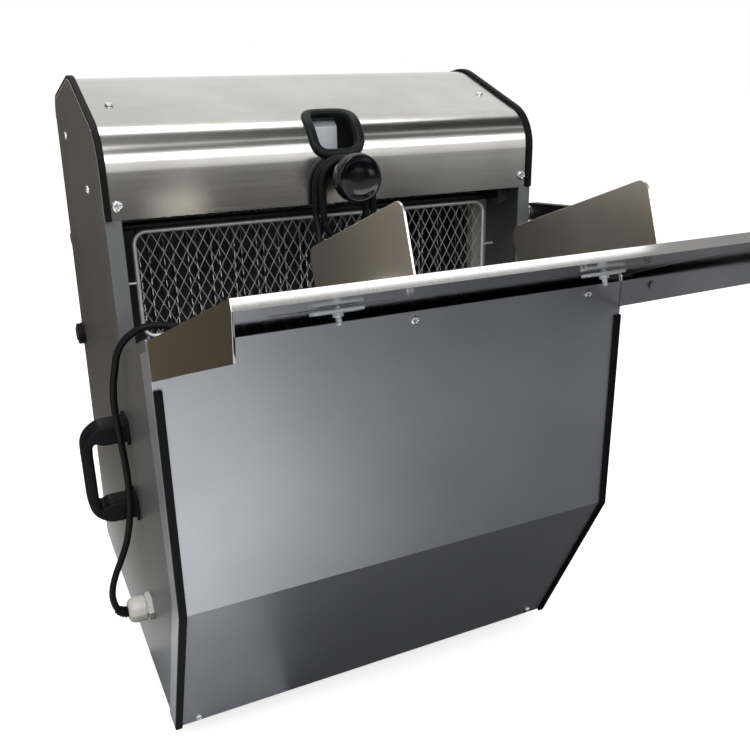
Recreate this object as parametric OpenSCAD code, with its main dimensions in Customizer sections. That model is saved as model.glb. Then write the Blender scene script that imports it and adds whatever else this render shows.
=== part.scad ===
/* [Body] */
// Width over the outer faces of the two side panels
body_w = 440; // [400:1:520]
// Thickness of the painted sheet metal
sheet = 2; // [1.5:0.1:3]
// Height of the fold in the front panel above the base
chin_h = 188; // [150:1:220]
// How far that fold stands out ahead of the bottom edge
chin_run = 92; // [60:1:110]
// Gap between the tray surface and the front panel's top edge
panel_gap = 7; // [5:0.5:12]
// Setback of the hood lip behind the bottom front edge
lip_y = 60; // [45:1:75]
// Height of the lower edge of the hood lip above the base
lip_low = 493; // [480:1:505]
// Upright height of the hood lip
lip_h = 40; // [30:1:55]
// Radius of the bend between the lip and the top of the hood
hood_r = 42; // [30:1:50]
// Slope of the top of the hood in degrees
hood_slope = 20; // [14:1:24]
// Distance from the bottom front edge back to the ridge of the hood
ridge_y = 194; // [170:1:220]
// Distance from the bottom front edge back to the upper rear corner
rear_top_y = 340; // [320:1:360]
// Height of the upper rear corner above the base
rear_top_h = 588; // [570:1:600]
// Depth of the base from the bottom front edge to the rear
base_d = 430; // [410:1:450]
// Thickness of the stainless hood
hood_t = 1.5; // [1:0.1:2.5]
// Radius of the rounded ridge of the hood
ridge_r = 60; // [30:1:80]
// Radius of the hood's upper rear corner
rear_r = 30; // [15:1:40]
// Depth of the front cover's returns along the side panels
return_w = 38; // [25:1:50]
// Width of the rubber trims
trim_w = 7; // [5:0.5:9]
// Width of the trims along the hood's edges
hood_trim_w = 6; // [4:0.5:8]
// How far the rubber trims stand proud
trim_t = 3; // [2:0.1:5]
// Height of the rubber feet
foot_h = 18; // [12:1:30]
// Diameter of the rubber feet
foot_d = 38; // [28:1:50]

/* [Feed tray] */
// Slope of the tray and the outlet bed in degrees
tray_slope = 20; // [16:0.5:22]
// Height of the tray surface where it passes the front panel
tray_h = 428; // [427:0.5:434]
// Length of the tray ahead of the front panel, along its slope
tray_reach = 249; // [220:1:280]
// Thickness of the tray sheet
tray_t = 1.5; // [1:0.1:2]
// Depth of the side flanges of the tray
tray_flange = 30; // [20:1:40]
// Depth of the folded lip at the tray's front edge
tray_lip = 6.5; // [5:0.5:10]

/* [Guides] */
// Distance of each upright guide from the middle
guide_x = 92; // [80:1:110]
// Height of the guides above the tray
guide_h = 51; // [40:1:70]
// Length of the guides along the tray
guide_l = 165; // [140:1:180]
// Thickness of the guide plates
guide_t = 1.6; // [1:0.1:3]
// Slope distance from the guide's front edge to its bolt
guide_bolt_run = 82; // [60:1:100]
// Sideways travel of a guide each way from the middle of its slot
guide_travel = 45; // [30:1:50]
// Diameter of the guide bolts
bolt_d = 8; // [6:0.5:10]

/* [Hood slot] */
// Width of the opening in the hood
slot_w = 48; // [42:1:56]
// Length of the opening around the bend
slot_l = 48; // [40:1:50]
// Wall of the rubber grommet in the opening
grommet_wall = 4.5; // [3:0.5:7]
// Width of the strap behind the opening
strap_w = 25; // [18:1:32]

/* [Guard] */
// Drop from the lip's lower edge to the guard's pivot rod
guard_below = 13; // [9:1:17]
// Setback of the guard's pivot rod behind the bottom front edge
guard_y = 105; // [100:1:110]
// Clearance between the bed and the guard's lower rail
guard_clear = 17.7; // [14:0.1:30]
// Gap between the side panels and the middle of the guard's side bars
guard_side_gap = 28; // [24:1:38]
// Diameter of the pivot rod
pivot_d = 8; // [6:0.5:10]
// Diameter of the other guard bars
bar_d = 5.5; // [5:0.5:8]
// Width of one diamond in the mesh
mesh_pitch_w = 10.8; // [10:0.1:20]
// Height of one diamond in the mesh
mesh_pitch_h = 19; // [16:0.5:26]
// Width of the mesh strands
mesh_strand = 1.6; // [1.2:0.1:2.5]

/* [Knob] */
// Diameter of the clamp knob
knob_d = 45; // [38:1:48]
// Height of the knob's axis above the lip's lower edge
knob_rise = 27; // [21:1:33]
// Length of the neck between the lip and the knob
neck_l = 21; // [20:1:28]
// Diameter of the neck
neck_d = 12; // [10:0.5:13]

/* [Blades] */
// Distance from one cut to the next
cut_pitch = 12; // [10:0.5:12]
// Width of a blade from its back to the tips of its teeth
blade_w = 12; // [10:0.5:13]
// Thickness of a blade
blade_t = 0.8; // [0.5:0.1:1.2]
// Pitch of the blade teeth
tooth_pitch = 11; // [8:0.5:16]
// Depth of the gullets between the teeth
tooth_d = 2.2; // [1.5:0.1:3]
// Setback of the front blade frame behind the bottom front edge
frame_y = 150; // [148:1:154]
// Distance between the two blade frames
frame_gap = 14; // [13:0.5:16]
// Height of the lower bars' underside at mid stroke
lower_bar_h = 214; // [205:1:225]
// Height of the upper bars' underside above the lip's lower edge at mid stroke
upper_bar_rise = 7; // [3:1:13]
// Stroke of each frame either way
half_stroke = 18; // [12:1:20]

/* [Drive] */
// Height of the crankshaft above the base
crank_h = 95; // [90:1:105]
// Diameter of the crankshaft
shaft_d = 20; // [16:1:24]
// Diameter of the crank discs
disc_d = 64; // [56:1:72]
// Pitch diameter of the large pulley
crank_pulley_d = 110; // [100:1:116]
// Pitch diameter of the motor pulley
motor_pulley_d = 44; // [40:1:50]
// Distance from the base's rear edge forward to the motor shaft
motor_inset = 100; // [92:1:110]
// Diameter of the motor
motor_d = 120; // [100:1:130]
// Gap between the motor's end and the right side panel
motor_end_gap = 32; // [24:1:60]
// Width of the belt
belt_w = 13; // [10:0.5:16]
// Thickness of the belt
belt_t = 6; // [4:0.5:7]

/* [Handles and fittings] */
// Height of a carry handle on the panel
handle_l = 100; // [94:1:120]
// How far a handle stands out from the panel
handle_reach = 45; // [40:1:50]
// Width of a handle
handle_w = 28; // [22:1:34]
// Height of a handle's middle above the base
handle_h = 252; // [240:1:270]
// Setback of a handle's middle behind the bottom front edge
handle_y = 84; // [80:1:110]
// Diameter of the mains cord
cord_d = 6.5; // [5:0.1:6.8]
// Height of the cable gland above the base
gland_h = 103; // [95:1:110]
// Setback of the cable gland behind the bottom front edge
gland_y = 65; // [60:1:70]
// Diameter of the cable gland's collar
gland_d = 28; // [24:1:32]
// Length of the cable gland
gland_l = 24; // [20:1:30]
// Diameter of the power switch bezel
switch_d = 27; // [22:1:32]

/* [Hidden] */
$fn = 48;

// Clearances and the overrun of every cut
overrun = 1;
seam = 0.3;
fit = 0.05;
contact = 0.1;
bend_steps = 12;
corner_steps = 6;

// Places that several pieces share
half_w = body_w / 2;
inner_x = half_w - sheet;
flange_w = 12;
flange_x = inner_x - flange_w;
panel_half = flange_x - seam;
return_t = 1.5;
return_share = 0.62;
cover_half = half_w + return_t;
trim_drop = 32;
front_h = tray_h - panel_gap;
knob_h = lip_low + knob_rise;
upper_bar_h = lip_low + upper_bar_rise;
notch_rise = 3;
rail_gap = 2;

// The middle of the part's depth, for the origin
tray_nose_y = chin_run + tray_reach * cos(tray_slope) + tray_lip * sin(tray_slope);
mid_y = (base_d - tray_nose_y) / 2;

// Paths in the side view, as setback and height
hood_mid = [lip_y + hood_r, lip_low + lip_h];
hood_bend = [for (i = [0:bend_steps])
  let (a = 180 - i * (90 - hood_slope) / bend_steps) hood_mid + hood_r * [cos(a), sin(a)]];
bend_end = hood_bend[bend_steps];
ridge_h = bend_end.y + (ridge_y - bend_end.x) * tan(hood_slope);
ridge = [ridge_y, ridge_h];
rear_top = [rear_top_y, rear_top_h];
rear_foot = [base_d, 0];
rear_corner = corner(ridge, rear_top, rear_foot, rear_r);
hood_path = concat([[lip_y, lip_low]], hood_bend, corner(bend_end, ridge, rear_top, ridge_r), rear_corner);
rear_dir = unit(rear_foot - rear_top);
rear_seam = 2 * hood_t;
rear_path = [rear_corner[corner_steps] + rear_seam * rear_dir, rear_foot];
front_top_y = -chin_run;

// Feed tray and outlet bed
bed_front = (frame_y - blade_w / 2 - rail_gap * 3 + chin_run) / cos(tray_slope);
outlet_front = (frame_y + frame_gap + blade_w / 2 + rail_gap * 3 + chin_run) / cos(tray_slope);
outlet_z = tray_z(rear_top_y);
outlet_back = (rear_y(outlet_z) - rail_gap * 3 + chin_run) / cos(tray_slope);
flange_cut = 12;
guide_setback = 62;
guide_front = guide_setback - tray_reach;
guide_bolt_y = guide_front + guide_bolt_run;
guide_bolt_in = 20;
guide_bolt_x = guide_x + guide_bolt_in;
guide_foot_w = 40;
guide_foot_l = 60;
guide_corner = 9;
clamp_plate = [38, 16, 3];
clamp_stub = 8;
thumb_nut_d = 18;
thumb_nut_h = 11;
slot_half = guide_travel + bolt_d / 2 + seam;
outlet_top_h = 415;

// Hood slot and strap
slot_turn = 138;
slot_mid = hood_mid + hood_r * [cos(slot_turn), sin(slot_turn)];
slot_corner = 14;
slot_depth = 60;
grommet_lip = 3;
strap_t = 2;
strap_setback = 22;
strap_run = 39;
strap_step = 17;
strap_fold = 18;
strap_fold_y = bend_end.x + strap_setback;
strap_back_y = strap_fold_y + strap_run;
strap_face_y = strap_fold_y - strap_step;
guard_pivot_h = lip_low - guard_below;
strap_foot_h = guard_pivot_h + pivot_d / 2 + seam;
strap_knee = 12;

// Guard
guard_drop = guard_pivot_h - tray_z(guard_y) - guard_clear;
guard_half_w = inner_x - guard_side_gap;
pivot_half = inner_x - rail_gap;
bracket_d = 20;
bracket_l = 12;
guard_corner = 12;
guard_pin = 14;
mesh_t = 1.4;
mesh_y = guard_y + bar_d / 2 + mesh_t / 2 + fit;
mesh_rim = 1;
mesh_hole = [mesh_pitch_w, mesh_pitch_h] / 2 * (1 - mesh_strand / mesh_pitch_w);
mesh_columns = floor((2 * guard_half_w - 2 * mesh_rim) / mesh_pitch_w);
mesh_rows = floor((guard_drop - pivot_d - 2 * mesh_rim) / mesh_pitch_h * 2) - 1;
mesh_middle = (guard_drop + pivot_d) / 2;

// Clamp knob
stud_d = 8;
stud_nut_d = 15;
stud_nut_h = 7;
knob_shares = [[0, 0], [0.2, 0], [0.24, 0.12], [0.4, 0.2], [0.5, 0.36], [0.49, 0.5],
  [0.4, 0.64], [0.24, 0.72], [0, 0.75]];

// Blade frames
bar_deep = 10;
bar_tall = 20;
post_w = 9;
post_inset = 24;
post_x = half_w - post_inset;
post_bare = 3;
guide_block_x = post_x + post_bare;
guide_block_margin = 8;
wall_y = 5;
frame_rear_y = frame_y + frame_gap;
front_blades = floor(post_x / cut_pitch);
rear_blades = front_blades - 1;
blade_span = upper_bar_h - lower_bar_h - bar_tall;
tooth_count = floor(blade_span / tooth_pitch);
block_low = lower_bar_h + bar_tall + half_stroke + guide_block_margin;
block_high = upper_bar_h - half_stroke - guide_block_margin;

// Crank and rods
crank_y = frame_y + frame_gap / 2;
disc_x = 62;
disc_t = 10;
pin_d = 8;
pin_l = 5;
open_gap = 1;
rod_t = 7;
rod_w = 12;
eye_d = 16;
wrist_drop = 14;
lug_t = 8;
lug_w = 16;
rod_x = disc_x + disc_t / 2 + pin_l + open_gap;
lug_x = rod_x + rod_t + contact;
bearing_x = 36;
bearing_t = 14;
bearing_w = 46;
bearing_head = 18;
pulley_rim = 2;
pulley_w = belt_w + 2 * pulley_rim + 2 * seam;
pulley_lip = 2;
motor_y = base_d - motor_inset;
drive_span = motor_y - crank_y;
belt_lean = acos((crank_pulley_d - motor_pulley_d) / (2 * drive_span));
belt_run = drive_span * sin(belt_lean);
motor_x = 16;
motor_l = inner_x - motor_x - motor_end_gap;
motor_shaft_d = 14;
motor_seat = 20;
motor_fin = 3;
motor_fin_count = 20;
motor_fin_w = 4;
motor_cap = 12;
cradle_w = 90;
cradle_l = 24;
cradle_share = 0.55;
cradle_inset = 26;

// Handles and small fittings
handle_wall = 10;
handle_corner = 15;
handle_inner_corner = 6;
handle_foot = 19;
switch_h = 8;
bezel_wall = 4;
button_d = switch_d - 2 * bezel_wall;
button_travel = 2.5;
switch_z = 313;
switch_inset = 18;
lever_y = 67;
lever_below = 30;
lever_z = lip_low - lever_below;
lever_hub_d = 22;
lever_stud_d = 8;
lever_cap_d = 16;
lever_cap_t = 4;
lever_gap = 6;
lever_t = 10;
lever_l = 58;
lever_tip_d = 14;
lever_rise = 8;
screw_d = 8;
screw_h = 2.4;
lip_screw_d = 10;
screw_edge = 6;
slope_screw_in = 25;
slope_screw_rise = 40;
screw_rise = 12;
side_screw_shares = [[0.75, 0.836], [1.39, 0.905]];
foot_inset_x = 30;
foot_inset_y = 42;
foot_taper_share = 0.86;
tie_d = 12;
tie_places = [[-chin_run / 2, chin_h],
  [base_d - 2 * foot_inset_y, crank_h + motor_d / 2 + 3 * tie_d]];

// Outlet flap, hung on the outside of the rear panel
rear_lean = atan((base_d - rear_top_y) / rear_top_h);
outlet_low = tray_z(base_d);
flap_rod_d = 6;
flap_out = 5;
flap_lap = 6;
flap_rise = 14;
flap_bracket_d = 12;
flap_half = flange_x + flap_lap;
flap_z = outlet_top_h + flap_rise;
flap_l = (flap_z - outlet_low) / cos(rear_lean) + flap_lap;

// Mains cord: hand-chosen points, the loops on the neck and the plug
gland_shares = [[0, 0], [1, 0], [1, 0.3], [0.86, 0.34], [0.86, 0.68], [0.72, 0.9], [0.5, 1], [0, 1]];
cord_sides = 8;
loop_sides = 6;
loop_rings = 30;
loop_turns = 1;
loop_air = 1.5;
layer_air = 1.2;
loop_step = cord_d + loop_air;
layer_step = cord_d + layer_air;
loop_half_w = 20;
loop_straight = 14;
loop_half_h = loop_half_w + loop_straight;
loop_top = knob_h + neck_d / 2 + cord_d / 2 + seam;
loop_back_y = lip_y - grommet_lip - cord_d / 2 - seam;
loop_mid_h = loop_top - loop_half_h;
loop_out = loop_turns * loop_step;
sleeve_r = 10;
sleeve_turn = 60;
sleeve_steps = 4;
sleeve_shares = [1.75, 1.35];
sleeve_route = concat([[-half_w - gland_l / 2, gland_y, gland_h]], [for (i = [0:sleeve_steps])
  let (a = i * sleeve_turn / sleeve_steps)
  [-half_w - gland_l - sleeve_r * sin(a), gland_y, gland_h + sleeve_r * (1 - cos(a))]]);
sleeve_end = sleeve_route[sleeve_steps + 1];
sleeve_way = [-cos(sleeve_turn), 0, sin(sleeve_turn)];
plug_l = 42;
plug_w = 30;
plug_t = 22;
plug_boot = 14;
plug_boot_d = 11;
plug_round_share = 0.35;
plug_pin_d = 4.8;
plug_pin_l = 19;
plug_pin_gap = 19;
plug_x = 74;
plug_y = 90;
plug_entry = tray_point(plug_y, plug_t / 2 + seam);
loop_side = loop_half_w + loop_out;
loop_low = loop_mid_h - cord_d;
cord_route = [
  sleeve_end, sleeve_end + cord_d / 2 * sleeve_way, [-255.9, 65.5, 117], [-256.4, 66, 125],
  [-254.5, 66, 136], [-250, 65.5, 149], [-243, 64.5, 165], [-236.5, 62.5, 183], [-231.5, 60, 207],
  [-229, 57.5, 236], [-229.5, 55, 270], [-232, 51, 303], [-233.5, 47, 331], [-232.3, 43.5, 352],
  [-229.6, 41, 367], [-226.8, 39, 380], [-222.3, 37.5, 389], [-215.3, 36, 396.5], [-204.7, 34, 402.5],
  [-191, 32, 404], [-175, 29.5, 401.5], [-156, 26.5, 397], [-130, 23, 393], [-98, 20, 392],
  [-74, 18, 394], [-57, 17, 401], [-46, 18, 414], [-39, 24, 430], [-34, 34, 447], [-30, 44, 462],
  [-loop_side, loop_back_y - cord_d / 2, loop_mid_h - 3.5 * cord_d],
  [-loop_side, loop_back_y, loop_mid_h - 2 * cord_d], [-loop_side, loop_back_y, loop_low]
];
lead_route = [
  [loop_side, loop_back_y - layer_step, loop_low],
  [loop_side, loop_back_y - layer_step, loop_mid_h - 2 * cord_d],
  [27.6, 44.6, 473.6], [26.6, 41.5, 464.4], [25.4, 36.7, 455.1], [24.5, 30.9, 446], [24.2, 24.4, 437.3],
  [25.1, 17.7, 429.3], [27.4, 11.3, 422.2], [31.7, 5.4, 416.3], [38.2, 0.7, 411.8], [46, -2, 409.2],
  [plug_x - plug_boot - cord_d, plug_entry.x, plug_entry.y],
  [plug_x - plug_boot, plug_entry.x, plug_entry.y]
];

// Plane geometry
function unit(v) = v / norm(v);
function left_of(u) = [-u.y, u.x];
function edge(p, i) = unit(p[i + 1] - p[i]);
function shifted(p, t) = let (n = len(p) - 1) [for (i = [0:n])
  let (a = left_of(edge(p, max(i - 1, 0))), b = left_of(edge(p, min(i, n - 1))))
  p[i] + t * (a + b) / (1 + a * b)];
function reversed(p) = [for (i = [len(p) - 1:-1:0]) p[i]];
function band(p, t) = concat(p, reversed(shifted(p, t)));
function front_path(top) = [[0, 0], [front_top_y, chin_h], [front_top_y, top]];
function tray_z(y) = tray_h - (y + chin_run) * tan(tray_slope);
function tray_point(y, z) = [
  front_top_y + y * cos(tray_slope) + z * sin(tray_slope),
  tray_h - y * sin(tray_slope) + z * cos(tray_slope)];
function rear_y(z) = rear_top_y + (rear_top_h - z) * (base_d - rear_top_y) / rear_top_h;
function hood_under(y) = bend_end.y + (y - bend_end.x) * tan(hood_slope) - hood_t / cos(hood_slope);

function corner(a, b, c, r) =
  let (u = unit(a - b), v = unit(c - b), half = acos(u * v) / 2, mid = b + r / sin(half) * unit(u + v),
    first = b + r / tan(half) * u - mid, last = b + r / tan(half) * v - mid)
  [for (i = [0:corner_steps])
    let (s = i / corner_steps) mid + r * unit((1 - s) * first + s * last)];
function arc(c, r, a0, a1) = [for (i = [0:bend_steps])
  let (a = a0 + (a1 - a0) * i / bend_steps) c + r * [cos(a), sin(a)]];
function tooth_edge() = [for (i = [0:2 * tooth_count - 1])
  [(i % 2) * tooth_d - blade_w / 2, blade_span * i / (2 * tooth_count)]];

// Cord geometry: points on the loops, and a tube that follows a route
function smooth(s) = s * s * (3 - 2 * s);
function oval_point(run, r, h) =
  let (bend = 180 * (run - h) / (PI * r), back = 180 * (run - 3 * h) / (PI * r) - 180)
  run < h ? [-r, run] :
  bend < 180 ? [-r * cos(bend), h + r * sin(bend)] :
  run < 3 * h + PI * r ? [r, 2 * h + PI * r - run] :
  back < 180 ? [r * cos(back), -h - r * sin(back)] : [-r, run - 4 * h - 2 * PI * r];
function loop_point(t) =
  let (
    back = t < loop_turns,
    front = t > loop_turns + 0.5,
    out = back ? loop_out - loop_step * t : front ? loop_step * (t - loop_turns - 0.5) : 0,
    climb = back ? 0 : front ? 1 : smooth(2 * (t - loop_turns)),
    r = loop_half_w + out,
    p = oval_point((t - floor(t)) * (2 * PI * r + 4 * loop_straight), r, loop_straight)
  )
  [p.x, loop_back_y - layer_step * climb, loop_mid_h + p.y];
loop_ends = 2 * loop_turns + 0.5;
loop_turn_points = [for (i = [0:loop_ends * loop_rings]) loop_point(i / loop_rings)];
loop_route = concat([[-loop_side, loop_back_y, loop_low]], loop_turn_points,
  [[loop_side, loop_back_y - layer_step, loop_low]]);
function carried(n, t) = unit(n - (n * t) * t);
function tangents(p, head, tail) = let (n = len(p) - 1)
  [for (i = [0:n]) i == 0 ? head : i == n ? tail : unit(p[i + 1] - p[i - 1])];
function normals(t, first) = [
  for (i = 0, n = carried(first, t[0]); i < len(t); i = i + 1, n = i < len(t) ? carried(n, t[i]) : n) n];
loop_last = len(loop_route) - 1;
loop_least = min([for (i = [0:loop_last]) for (j = [i + loop_rings / 3:loop_last])
  norm(loop_route[i] - loop_route[j])]);
echo(least_gap_between_loops = loop_least - cord_d);

module tube(route, sides, head, tail, first, ends = [1, 1]) {
  t = tangents(route, head, tail);
  n = normals(t, first);
  rings = len(route);
  points = [for (i = [0:rings - 1]) for (k = [0:sides - 1])
    let (r = cord_d / 2 * (ends[0] + (ends[1] - ends[0]) * i / (rings - 1)))
    route[i] + r * (cos(360 * k / sides) * n[i] + sin(360 * k / sides) * cross(t[i], n[i]))];
  walls = [for (i = [0:rings - 2]) for (k = [0:sides - 1])
    let (a = i * sides + k, b = i * sides + (k + 1) % sides)
    each [[a, a + sides, b], [b, a + sides, b + sides]]];
  last = (rings - 1) * sides;
  caps = [for (k = [1:sides - 2]) each [[0, k, k + 1], [last, last + k + 1, last + k]]];
  polyhedron(points, concat(walls, caps));
}

// Placing helpers
module place() translate([0, -mid_y, foot_h]) children();
module on_side(side) mirror([side < 0 ? 1 : 0, 0, 0]) children();
module along_x(x0, x1) translate([x0, 0, 0]) rotate([90, 0, 90]) linear_extrude(x1 - x0) children();
module on_tray() translate([0, front_top_y, tray_h]) rotate([-tray_slope, 0, 0]) children();
module on_slope(x0, x1) on_tray() along_x(x0, x1) children();
module at_slot() translate([0, slot_mid.x, slot_mid.y]) rotate([slot_turn - 90, 0, 0]) children();
module shaft_x(d, x0, x1) translate([x0, 0, 0]) rotate([0, 90, 0]) cylinder(d = d, h = x1 - x0);
module rounded(w, h, r) {
  square([w - 2 * r, h], center = true);
  square([w, h - 2 * r], center = true);
  for (x = [-1, 1], y = [-1, 1]) translate([x * (w / 2 - r), y * (h / 2 - r)]) circle(r);
}

// Covers
module side_outline() {
  difference() {
    polygon(concat(front_path(tray_z(front_top_y) + notch_rise), [[lip_y, tray_z(lip_y) + notch_rise]],
      hood_path, [[base_d, 0]]));
    polygon(band(hood_path, -hood_t));
    polygon(band(rear_path, -sheet));
    polygon(band(front_path(tray_z(front_top_y) + notch_rise + overrun), -sheet));
  }
}
module side_panel(side) {
  on_side(side) {
    along_x(inner_x, half_w) side_outline();
    along_x(flange_x, inner_x) polygon(band(shifted(front_path(front_h), -sheet), -sheet));
    along_x(flange_x, inner_x) translate([lip_y, tray_z(lip_y) + notch_rise])
      square([sheet, lip_low - tray_z(lip_y) - notch_rise]);
    on_slope(flange_x, inner_x) translate([rail_gap, -tray_t - sheet])
      square([bed_front - rail_gap, sheet]);
    on_slope(flange_x, inner_x) translate([outlet_front, -tray_t - sheet])
      square([outlet_back - outlet_front, sheet]);
  }
}
module side_panel_left() color("#8d8e88") place() side_panel(-1);
module side_panel_right() color("#8d8e88") place() side_panel(1);
module front_panel() color("#a9abb2") place() {
  along_x(-cover_half, cover_half) polygon(band(front_path(front_h), -sheet));
  for (x = [-1, 1]) on_side(x) along_x(half_w, cover_half) polygon(concat(front_path(front_h), [
    [return_w - chin_run, front_h - return_w * tan(tray_slope)],
    [return_share * return_w - chin_run, chin_h], [return_share * return_w, 0]]));
}
module hood_shell() {
  difference() {
    along_x(-half_w, half_w) polygon(band(hood_path, -hood_t));
    at_slot() linear_extrude(slot_depth, center = true) rounded(slot_w, slot_l, slot_corner);
    translate([0, lip_y, knob_h]) rotate([90, 0, 0])
      cylinder(d = stud_d + 2 * fit, h = slot_depth, center = true);
  }
}
module hood() color("#c9c8c3") place() hood_shell();
module rear_panel() color("#8d8e88") place() difference() {
  along_x(-half_w, half_w) polygon(band(rear_path, -sheet));
  translate([-flange_x, 0, tray_z(base_d)])
    cube([2 * flange_x, base_d + overrun, outlet_top_h - tray_z(base_d)]);
}
module base_plate() color("#8d8e88") place()
  translate([seam - inner_x, 2 * sheet, 0]) cube([2 * (inner_x - seam), base_d - 4 * sheet, sheet]);
module hood_trim(side) on_side(side) along_x(half_w - hood_trim_w, half_w) polygon(band(hood_path, trim_t));
module hood_trim_left() color("#1c1c1e") place() hood_trim(-1);
module hood_trim_right() color("#1c1c1e") place() hood_trim(1);
module front_trim(side) on_side(side) along_x(cover_half - trim_w, cover_half)
  polygon(band(front_path(front_h - trim_drop), trim_t));
module front_trim_left() color("#1c1c1e") place() front_trim(-1);
module front_trim_right() color("#1c1c1e") place() front_trim(1);
module slot_grommet() color("#151516") place() difference() {
  intersection() {
    at_slot() linear_extrude(slot_depth, center = true) difference() {
      rounded(slot_w + 2 * grommet_wall, slot_l + 2 * grommet_wall, slot_corner + grommet_wall);
      rounded(slot_w - 2 * grommet_wall, slot_l - 2 * grommet_wall, slot_corner - grommet_wall);
    }
    along_x(-slot_w, slot_w) polygon(band(shifted(hood_path, grommet_lip), -hood_t - 2 * grommet_lip));
  }
  hood_shell();
}
module screw(d = screw_d) cylinder(d = d, h = screw_h);
module cover_screws() color("#d7d8da") place() {
  for (x = [-1, 1]) {
    translate([x * (half_w - hood_trim_w - screw_edge), lip_y, lip_low + screw_rise])
      rotate([90, 0, 0]) screw(lip_screw_d);
    translate([x * (half_w - slope_screw_in), bend_end.x, bend_end.y]) rotate([hood_slope, 0, 0])
      translate([0, slope_screw_rise, 0]) screw();
    for (p = side_screw_shares) translate([x * half_w, p.x * ridge_y, p.y * ridge_h])
      rotate([0, x * 90, 0]) screw();
  }
}
module panel_screws() color("#e2e3e5") place() {
  for (x = [-1, 0, 1]) translate([x * (panel_half - 3 * screw_d), front_top_y, front_h - screw_d])
    rotate([90, 0, 0]) screw();
  for (x = [-1, 1]) translate([x * (panel_half - screw_d), 0, 0])
    rotate([90 + atan(chin_run / chin_h), 0, 0]) translate([0, screw_d, 0]) screw();
}
module rubber_feet() color("#1d1d1f") place()
  for (x = [-1, 1], y = [foot_inset_y, base_d - foot_inset_y])
    translate([x * (half_w - foot_inset_x), y, -foot_h])
      cylinder(d1 = foot_d * foot_taper_share, d2 = foot_d, h = foot_h);
module tie_rods() color("#9a9a96") place()
  for (p = tie_places) translate([0, p.x, p.y]) shaft_x(tie_d, -inner_x, inner_x);

// Feed tray, guides and outlet bed
module bolt_slot() linear_extrude(slot_depth, center = true) {
  square([2 * guide_travel, bolt_d + 2 * seam], center = true);
  for (x = [-1, 1]) translate([x * guide_travel, 0]) circle(d = bolt_d + 2 * seam);
}
module feed_tray() color("#bfc0c1") place() {
  on_tray() difference() {
    union() {
      translate([-cover_half, -tray_reach, -tray_t]) cube([2 * cover_half, tray_reach - 2 * seam, tray_t]);
      translate([seam - inner_x, -tray_reach, -tray_t])
        cube([2 * (inner_x - seam), tray_reach + bed_front, tray_t]);
      translate([-cover_half, -tray_reach, -tray_lip]) cube([2 * cover_half, tray_t, tray_lip]);
    }
    for (x = [-1, 1]) translate([x * guide_bolt_x, guide_bolt_y, 0]) bolt_slot();
  }
  for (x = [-1, 1]) on_side(x) on_slope(cover_half - tray_t, cover_half) polygon([
    [-tray_reach, 0], [-tray_reach, -tray_lip], [flange_cut - tray_reach, -tray_flange],
    [tray_flange * tan(tray_slope) - 2 * seam, -tray_flange], [-2 * seam, 0]]);
}
module outlet_bed() color("#bfc0c1") place() on_tray()
  translate([seam - inner_x, outlet_front, -tray_t])
    cube([2 * (inner_x - seam), outlet_back - outlet_front, tray_t]);
module guide(side) on_side(side) on_tray() translate([0, 0, contact]) {
  along_x(guide_x, guide_x + guide_t) polygon(concat([[guide_front, 0]],
    arc([guide_front + guide_corner, guide_h - guide_corner], guide_corner, 180, 90),
    arc([guide_front + guide_l - guide_corner, guide_h - guide_corner], guide_corner, 90, 0),
    [[guide_front + guide_l, 0]]));
  difference() {
    translate([guide_x, guide_bolt_y - guide_foot_l / 2, 0]) cube([guide_foot_w, guide_foot_l, guide_t]);
    translate([guide_bolt_x, guide_bolt_y, 0])
      cylinder(d = bolt_d + 2 * fit, h = slot_depth, center = true);
  }
}
module guide_clamp(side) on_side(side) on_tray() translate([guide_bolt_x, guide_bolt_y, 0]) {
  translate([0, 0, -tray_t - contact - clamp_plate.z - clamp_stub])
    cylinder(d = bolt_d, h = clamp_stub + clamp_plate.z + tray_t + 2 * contact + guide_t + thumb_nut_h);
  translate([-clamp_plate.x / 2, -clamp_plate.y / 2, -tray_t - contact - clamp_plate.z]) cube(clamp_plate);
  translate([0, 0, contact + guide_t]) cylinder(d = thumb_nut_d, h = thumb_nut_h);
}
module guide_left() color("#dcdddf") place() guide(-1);
module guide_right() color("#dcdddf") place() guide(1);
module guide_left_clamp() color("#a7a8aa") place() guide_clamp(-1);
module guide_right_clamp() color("#a7a8aa") place() guide_clamp(1);

// Strap, guard and clamp knob behind and on the hood lip
module hanger_strap() color("#b9babb") place() along_x(-strap_w / 2, strap_w / 2) polygon(band([
  [strap_back_y, hood_under(strap_back_y)], [strap_fold_y, hood_under(strap_fold_y)],
  [strap_face_y, hood_under(strap_fold_y) - strap_fold], [strap_face_y, strap_foot_h + strap_knee],
  [guard_y, strap_foot_h]], strap_t));
module guard_brackets() color("#8f908f") place() translate([0, guard_y, guard_pivot_h])
  for (x = [-1, 1]) on_side(x) difference() {
    shaft_x(bracket_d, inner_x - bracket_l, inner_x);
    shaft_x(pivot_d + 2 * fit, inner_x - bracket_l - overrun, inner_x + overrun);
  }
module guard_frame() color("#b4b5b7") place() translate([0, guard_y, guard_pivot_h]) {
  shaft_x(pivot_d, -pivot_half, pivot_half);
  translate([0, 0, -guard_drop]) shaft_x(bar_d, guard_corner - guard_half_w, guard_half_w - guard_corner);
  for (x = [-1, 1]) on_side(x) {
    translate([guard_half_w, 0, guard_corner - guard_drop])
      cylinder(d = bar_d, h = guard_drop - guard_corner);
    translate([guard_half_w - guard_corner, 0, guard_corner - guard_drop]) rotate([90, 0, 0])
      rotate([0, 0, -90]) rotate_extrude(angle = 90) translate([guard_corner, 0]) circle(d = bar_d);
    translate([0, 0, -guard_drop / 2]) shaft_x(bar_d, guard_half_w, guard_half_w + guard_pin);
  }
}
module diamond() polygon([[-mesh_hole.x, 0], [0, mesh_hole.y], [mesh_hole.x, 0], [0, -mesh_hole.y]]);
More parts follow.
